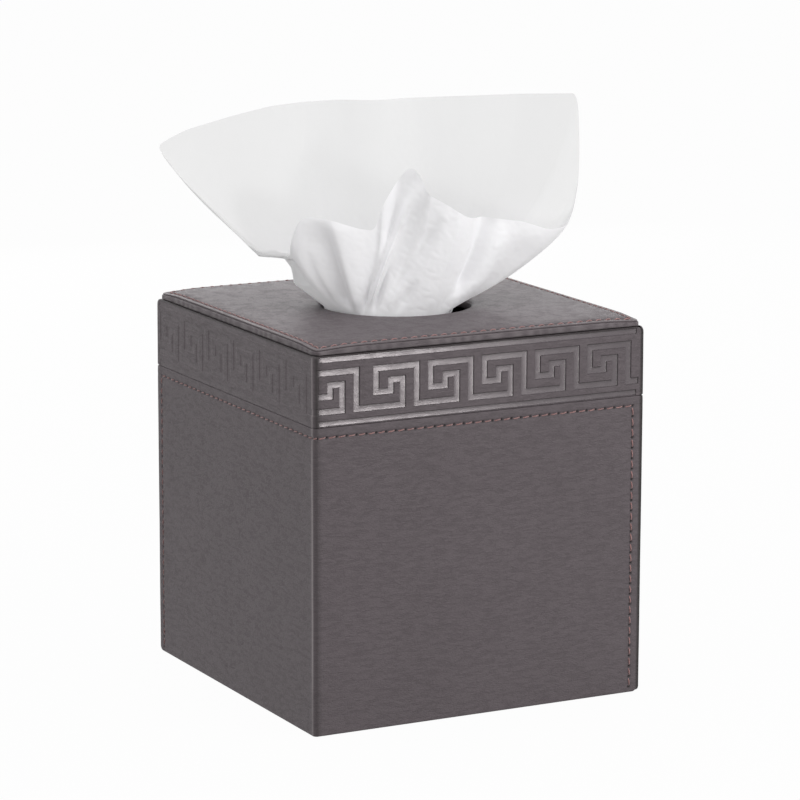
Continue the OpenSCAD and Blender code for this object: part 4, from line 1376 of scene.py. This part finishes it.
# Folds: height as a share of the pleats, the turn at the mouth and at the free edge, the half widths
# on both sides in degrees, and the shares of the way up where the fold starts and ends
FOLDS = [
    (-1.3, 229, 226, 8, 2.2, -0.3, 1), (0.8, 232, 229, 3, 6, -0.3, 1.2),
    (-1, 262, 266, 5, 3, -0.2, 0.5), (-1.7, 306, 307, 3, 3, 0.15, 1.3),
    (-1.1, 262, 262, 5, 4, 0.45, 1.6), (-0.8, 272, 288, 4, 4, 0.1, 0.9),
    (1, 250, 277, 3, 5, 0.05, 1.4), (-0.6, 244, 246, 3, 3, -0.2, 0.45),
    (-0.6, 283, 284, 3, 3, -0.2, 0.4), (0.6, 318, 314, 5, 4, 0.1, 1),
    (-0.7, 330, 326, 6, 6, 0.1, 0.9), (-0.5, 214, 220, 4, 3, 0, 0.8),
    (0.4, 60, 72, 12, 12, 0, 1.4), (-0.4, 92, 98, 12, 12, 0, 1.4), (0.4, 128, 122, 12, 12, 0, 1.4),
    (-0.4, 158, 150, 12, 12, 0, 1.3),
]


def share_at(table, angle, column=1, soften=1.6):
    """A table's value at an angle, softened over a few degrees."""
    table = np.array(table, float)
    turns = [np.mod(angle + d, 360) for d in (-soften, 0, soften)]
    return sum(np.interp(turn, table[:, 0], table[:, column]) for turn in turns) / 3


def fold_height(turn, v, pleat):
    """Height of the folds: each is a bell round a line that drifts from its turn at the mouth to its
    turn at the free edge, with a half width for each side."""
    total = 0
    for h, at_mouth, at_edge, left_w, right_w, start, end in FOLDS:
        off = np.mod(turn - mix(at_mouth, at_edge, v) + 180, 360) - 180
        span = smooth((v - start) / FOLD_IN) * smooth((end - v) / FOLD_OUT)
        total = total + h * bell(off / np.where(off < 0, left_w, right_w)) * span
    return pleat * total * smooth(v / FOLD_FOOT)


# Columns round the tissue, and rows of its spread and of its tucked middle
TISSUE_COLUMNS, SPREAD_ROWS, TUCK_ROWS = 560, 145, 25
# Gathers round the mouth, and how far in degrees their wave drifts round it
GATHERS, GATHER_DRIFT = 9, 35
# Folds of the bunched middle, and how far in degrees their wave shifts on the way to the mouth
BUNCHES, BUNCH_TURN = 30, 60
# How quickly the sheet reaches its hip
HIP_POWER = 9
# Where the notch and the gathered front start and end: a turn, and the turn that the change takes
NOTCH_TURNS = ((165, 15), (206, 5))
FRONT_TURNS = ((205, 10), (330, 25))
# The notch ends over this share of its height, and the bunched look, with its painted lightening, at
# this share of the way up
NOTCH_END, GATHER_RISE = 0.07, 0.6
# Sideways share of a fold's and a crumple's height, the crumples' share where the sheet is smooth,
# and the share of the way up over which they set in
FOLD_SIDEWAYS, CRUMPLE_SIDEWAYS = 0.35, 0.3
SMOOTH_CRUMPLE, CRUMPLE_START = 0.25, 0.08


def between(turn, start, end):
    """1 between two turns and 0 beyond them, each given as the turn and the width of the change."""
    return smooth((turn - start[0]) / start[1]) * (1 - smooth((turn - end[0]) / end[1]))


def tissue_mouth(sizes, top, angle):
    """Radius and height of the line where the sheet enters the mouth: a circle with small gathers,
    drawn in and lifted at the gap."""
    drawn = share_at(GAP_SHARES, angle)
    wave = np.cos(np.radians(GATHERS * angle + GATHER_DRIFT * np.sin(np.radians(2 * angle))))
    gathers = sizes.gather * (1 - drawn) * (1 - wave) / 2
    loop_r = top.mouth_r - sizes.play - sizes.gap * drawn - gathers
    return loop_r, TOP_Z - top.mouth_roll / 2 + sizes.lift * drawn


def tissue_spread(sizes, turn, angle, loop_r, loop_z):
    """The sheet above the mouth, and where its layers are bunched and painted lighter. Each line runs
    from the mouth to the free edge, going out by 1 - (1 - v) to the power of its flare at the share v
    of its rise, with the folds, the notch and the crumples added."""
    v = np.linspace(0, 1, SPREAD_ROWS)[:, None] + 0 * turn
    a = turn + 0 * v
    cos, sin = np.cos(np.radians(angle)), np.sin(np.radians(angle))
    hip = share_at(HIP_SHARES, a, soften=4)
    flare = share_at(FLARE_SHARES, a, soften=4)
    out = hip * (1 - (1 - v) ** HIP_POWER) + (1 - hip) * (1 - (1 - v) ** flare)
    x = mix(loop_r * cos, share_at(EDGE_SHARES, a, 1) * sizes.width, out)
    y = mix(loop_r * sin, share_at(EDGE_SHARES, a, 2) * sizes.depth, out)
    z = mix(loop_z, TOP_Z + share_at(EDGE_SHARES, a, 3) * sizes.rise, v)
    up = (z - TOP_Z) / sizes.notch_z
    notch = np.clip(2 * up - 1, 0, 1) * (1 - smooth((up - 1) / NOTCH_END))
    fold = fold_height(a, v, sizes.pleat)
    x = x + sizes.notch * notch * between(a, *NOTCH_TURNS) + FOLD_SIDEWAYS * fold * cos
    y = y + fold * sin
    gathered = np.maximum(between(a, *FRONT_TURNS), 1 - smooth(v / GATHER_RISE))
    waves = (slow_waves(x, z, 9 * MM, seed=0.4), slow_waves(x, z, 5 * MM, seed=1.1))
    ridges = np.abs(waves[0]) + np.abs(waves[1])
    crumple = sizes.crumple * (ridges - 0.5) * mix(SMOOTH_CRUMPLE, 1, gathered)
    crumple = crumple * smooth(v / CRUMPLE_START)
    return x + CRUMPLE_SIDEWAYS * crumple * cos, y + crumple * sin, z, gathered


def tissue_tuck(sizes, turn, angle, loop_r, loop_z, low_z):
    """The tucked middle: a bowl from its lowest point to the mouth, with bunched folds."""
    t = np.linspace(0, 1, TUCK_ROWS)[1:-1, None] + 0 * turn
    bunched = 1 + np.cos(np.radians(BUNCHES * turn + BUNCH_TURN * t))
    bowl_r = loop_r * np.sin(t * math.pi / 2)
    bowl_z = mix(low_z, loop_z, 1 - np.cos(t * math.pi / 2))
    return (bowl_r * np.cos(np.radians(angle)), bowl_r * np.sin(np.radians(angle)),
            bowl_z + sizes.bunch * np.sin(math.pi * t) * bunched)


class BOXCOVER_OT_tissue(bpy.types.Operator):
    """Adds the tissue that stands in the mouth, as one thin sheet"""

    bl_idname = "boxcover.tissue"
    bl_label = "Tissue"

    def execute(self, context):
        settings = context.scene.box_cover
        sizes, top = settings.tissue, settings.top
        turn = np.linspace(0, 360, TISSUE_COLUMNS, endpoint=False)
        angle = turn + share_at(EDGE_SHARES, turn, 4)
        loop_r, loop_z = tissue_mouth(sizes, top, angle)
        low_z = TOP_Z - top.mouth_roll / 2 - sizes.tuck
        *spread, gathered = tissue_spread(sizes, turn, angle, loop_r, loop_z)
        tuck = tissue_tuck(sizes, turn, angle, loop_r, loop_z, low_z)
        x, y, z = (np.concatenate(pair) for pair in zip(tuck, spread))
        cos, sin = math.cos(sizes.turn), math.sin(sizes.turn)
        grid = np.stack([x * cos - y * sin, x * sin + y * cos, z], -1)
        rows, cols = grid.shape[:2]
        points = np.concatenate([grid.reshape(-1, 3), [[0, 0, low_z]]])
        ring = np.arange(cols)
        faces = grid_faces(rows, cols, close_cols=True).tolist()
        faces += np.stack([0 * ring + rows * cols, np.roll(ring, -1), ring], -1).tolist()
        way = np.linspace(0, sizes.flat_l / 2, rows)[:, None]
        around = np.radians(turn)
        uv = np.stack([(way * c).ravel() for c in (np.cos(around), np.sin(around))], -1)
        uv = np.concatenate([uv, [[0, 0]]])
        layers = np.concatenate([np.ones(tuck[0].size), gathered.ravel(), [1]])
        finish = shared_finish("white_tissue", tissue_finish, settings.colours)
        piece = make_piece("tissue_sheet", points, faces, finish, uv,
                           {"gathered": layers}, sharp=180.0)
        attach(piece, "tissue")
        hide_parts("tissue")
        return {"FINISHED"}


# Rows of the hinge strip: under the flap, round its bend and up the wall
LEAF_ROWS, BEND_ROWS, WALL_ROWS = 13, 9, 14
BEND_R = 0.55 * MM
# Share of its thickness that the strip has at its two pared ends
PARED_SHARE = 0.55


class BOXCOVER_OT_hinge_strip(bpy.types.Operator):
    """Adds the leather strip that hinges the flap, one piece from the wall to the flap"""

    bl_idname = "boxcover.hinge_strip"
    bl_label = "Hinge Strip"

    def execute(self, context):
        settings = context.scene.box_cover
        leaf_low, leaf_high = node_box("hinge_flap_leaf")
        wall_low, wall_high = node_box("hinge_wall_leaf")
        half_t = (wall_high[1] - wall_low[1]) / 2
        y_wall = (wall_low[1] + wall_high[1]) / 2
        z_flap = (leaf_low[2] + leaf_high[2]) / 2
        arc = np.linspace(0, math.pi / 2, BEND_ROWS)
        y = np.concatenate([
            np.linspace(leaf_low[1], y_wall - BEND_R, LEAF_ROWS, endpoint=False),
            y_wall - BEND_R + BEND_R * np.sin(arc), np.full(WALL_ROWS, y_wall),
        ])
        z = np.concatenate([
            np.full(LEAF_ROWS, z_flap), z_flap + BEND_R - BEND_R * np.cos(arc),
            np.linspace(z_flap + BEND_R, wall_high[2], WALL_ROWS + 1)[1:],
        ])
        tangent = np.stack([np.gradient(y), np.gradient(z)], -1)
        tangent /= np.linalg.norm(tangent, axis=1, keepdims=True)
        normal = np.stack([-tangent[:, 1], tangent[:, 0]], -1)
        x_lines = grid_lines(low=float(leaf_low[0]), high=float(leaf_high[0]), step=2 * MM)
        cols = len(x_lines)
        sides = []
        for way in (-1, 1):
            thick = np.full(len(y), way * half_t)
            thick[[0, -1]] *= PARED_SHARE
            row_y = (y + normal[:, 0] * thick)[:, None] + 0 * x_lines
            row_z = (z + normal[:, 1] * thick)[:, None] + 0 * x_lines
            sides.append(np.stack([x_lines + 0 * row_y, row_y, row_z], -1))
        loop = np.concatenate([sides[0], sides[1][::-1]])
        rows = len(loop)
        faces = grid_faces(rows, cols, close_rows=True).tolist()
        at = np.arange(rows) * cols
        faces += [at.tolist(), (at + cols - 1)[::-1].tolist()]
        piece = make_piece("hinge_strip", loop.reshape(-1, 3), faces, leather(settings.colours),
                           values={"pit": np.zeros(rows * cols)}, sharp=35.0)
        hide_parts("hinge_wall_leaf", "hinge_flap_leaf")
        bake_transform(piece)
        return {"FINISHED"}


class BOXCOVER_OT_inner_parts(bpy.types.Operator):
    """Gives the boards, linings, ledge, flap, tab, plate and magnets their finishes"""

    bl_idname = "boxcover.inner_parts"
    bl_label = "Inner Parts"

    def execute(self, context):
        colours = context.scene.box_cover.colours
        finishes = {
            "leather": leather(colours),
            "board": shared_finish("greyboard", board_finish, colours),
            "lining": shared_finish("lining_fabric", lining_finish, colours),
        }
        for slot, name, grain, rough in (
            ("steel", "brushed_steel", 0.2, 0.32), ("magnet", "plated_magnet", 4, 0.16),
        ):
            finishes[slot] = shared_finish(name, steel_finish, colours, name, grain, rough)
        slots = {row["node"]: row["material_slot"] for row in frame["record"]["subparts"]}
        for name, obj in frame["nodes"].items():
            if obj.hide_render:
                continue
            finish = finishes.get(slots[name])
            if finish is None:
                raise RuntimeError(f"no finish for {name}")
            obj.data.materials.clear()
            obj.data.materials.append(finish)
        return {"FINISHED"}


def area_light(name, place, target, size, power):
    """A soft rectangular light that looks at a point and is unseen by the camera."""
    data = bpy.data.lights.new(name, "AREA")
    data.shape = "RECTANGLE"
    data.size, data.size_y = size
    data.energy = power
    lamp = bpy.data.objects.new(name, data)
    bpy.context.scene.collection.objects.link(lamp)
    lamp.location = place
    lamp.rotation_euler = (Vector(target) - Vector(place)).to_track_quat("-Z", "Y").to_euler()
    lamp.visible_camera = False


# Each light: its place, the point that it looks at, its width and height, and the name of its power
LIGHTS = {
    "overhead": ((-0.25, -0.15, 1.3), (0, 0, 0.1), (1.2, 1.2), "key_power"),
    "card": ((0.20, -0.58, 0.055), (-0.02, -0.067, 0.125), (0.12, 0.1), "card_power"),
    "front": ((0.28, -0.42, 0.38), (0.02, -0.067, 0.11), (0.3, 0.2), "front_power"),
    "back": ((0.22, 0.97, 0.3), (0, 0, 0.14), (0.9, 0.5), "back_power"),
}
SENSOR_W = 36.0
# Nearest and furthest distance that the camera sees, and half the width of the floor
CLIP = (0.05, 50.0)
FLOOR_HALF = 12.0


class BOXCOVER_OT_stage(bpy.types.Operator):
    """Adds the camera, the white floor, the even sky and the soft lights"""

    bl_idname = "boxcover.stage"
    bl_label = "Camera, Floor and Lights"

    def execute(self, context):
        scene = context.scene
        studio, colours = scene.box_cover.studio, scene.box_cover.colours
        scene.view_settings.view_transform = "Standard"
        data = bpy.data.cameras.new("camera")
        data.sensor_width, data.lens = SENSOR_W, studio.lens
        camera = bpy.data.objects.new("camera", data)
        scene.collection.objects.link(camera)
        yaw, pitch, roll = studio.yaw, studio.pitch, studio.roll
        ahead = Vector((math.sin(yaw) * math.cos(pitch), math.cos(yaw) * math.cos(pitch),
                        -math.sin(pitch)))
        right = Vector((math.cos(yaw), -math.sin(yaw), 0))
        up = right.cross(ahead)
        level = Matrix((right, up, -ahead)).transposed()
        camera.matrix_world = (
            Matrix.Translation((studio.camera_x, studio.camera_y, studio.camera_z))
            @ (level @ Matrix.Rotation(roll, 3, "Z")).to_4x4()
        )
        data.clip_start, data.clip_end = CLIP
        scene.camera = camera
        floor_mesh = bpy.data.meshes.new("floor")
        corners = [(x * FLOOR_HALF, y * FLOOR_HALF, 0) for x, y in ((-1, -1), (1, -1), (1, 1), (-1, 1))]
        floor_mesh.from_pydata(corners, [], [(0, 1, 2, 3)])
        floor_mesh.materials.append(floor_finish(colours))
        floor = bpy.data.objects.new("floor", floor_mesh)
        scene.collection.objects.link(floor)
        scene.world = sky_finish(studio.sky)
        for name, (place, target, size, power) in LIGHTS.items():
            area_light(name, place, target, size, getattr(studio, power))
        return {"FINISHED"}


STEPS = (
    BOXCOVER_OT_stage,
    BOXCOVER_OT_lower_leather,
    BOXCOVER_OT_pressed_bands,
    BOXCOVER_OT_wall_stitches,
    BOXCOVER_OT_top_leather,
    BOXCOVER_OT_edge_roll,
    BOXCOVER_OT_top_stitches,
    BOXCOVER_OT_hinge_strip,
    BOXCOVER_OT_tissue,
    BOXCOVER_OT_inner_parts,
)


class BOXCOVER_PT_panel(bpy.types.Panel):
    """Lists the steps that build the box cover"""

    bl_idname = "BOXCOVER_PT_panel"
    bl_label = "Box Cover"
    bl_space_type = "VIEW_3D"
    bl_region_type = "UI"
    bl_category = "Box Cover"

    def draw(self, context):
        for step in STEPS:
            self.layout.operator(step.bl_idname)


GROUPS = (LeatherSizes, StitchSizes, TopSizes, TissueSizes, FinishColours, StudioValues,
          BoxCoverSettings)


def register():
    for item in GROUPS + STEPS + (BOXCOVER_PT_panel,):
        bpy.utils.register_class(item)
    bpy.types.Scene.box_cover = PointerProperty(type=BoxCoverSettings)


def unregister():
    del bpy.types.Scene.box_cover
    for item in reversed(GROUPS + STEPS + (BOXCOVER_PT_panel,)):
        bpy.utils.unregister_class(item)


def main():
    register()
    for step in STEPS:
        group, operator = step.bl_idname.split(".")
        getattr(getattr(bpy.ops, group), operator)()


if __name__ == "__main__":
    main()
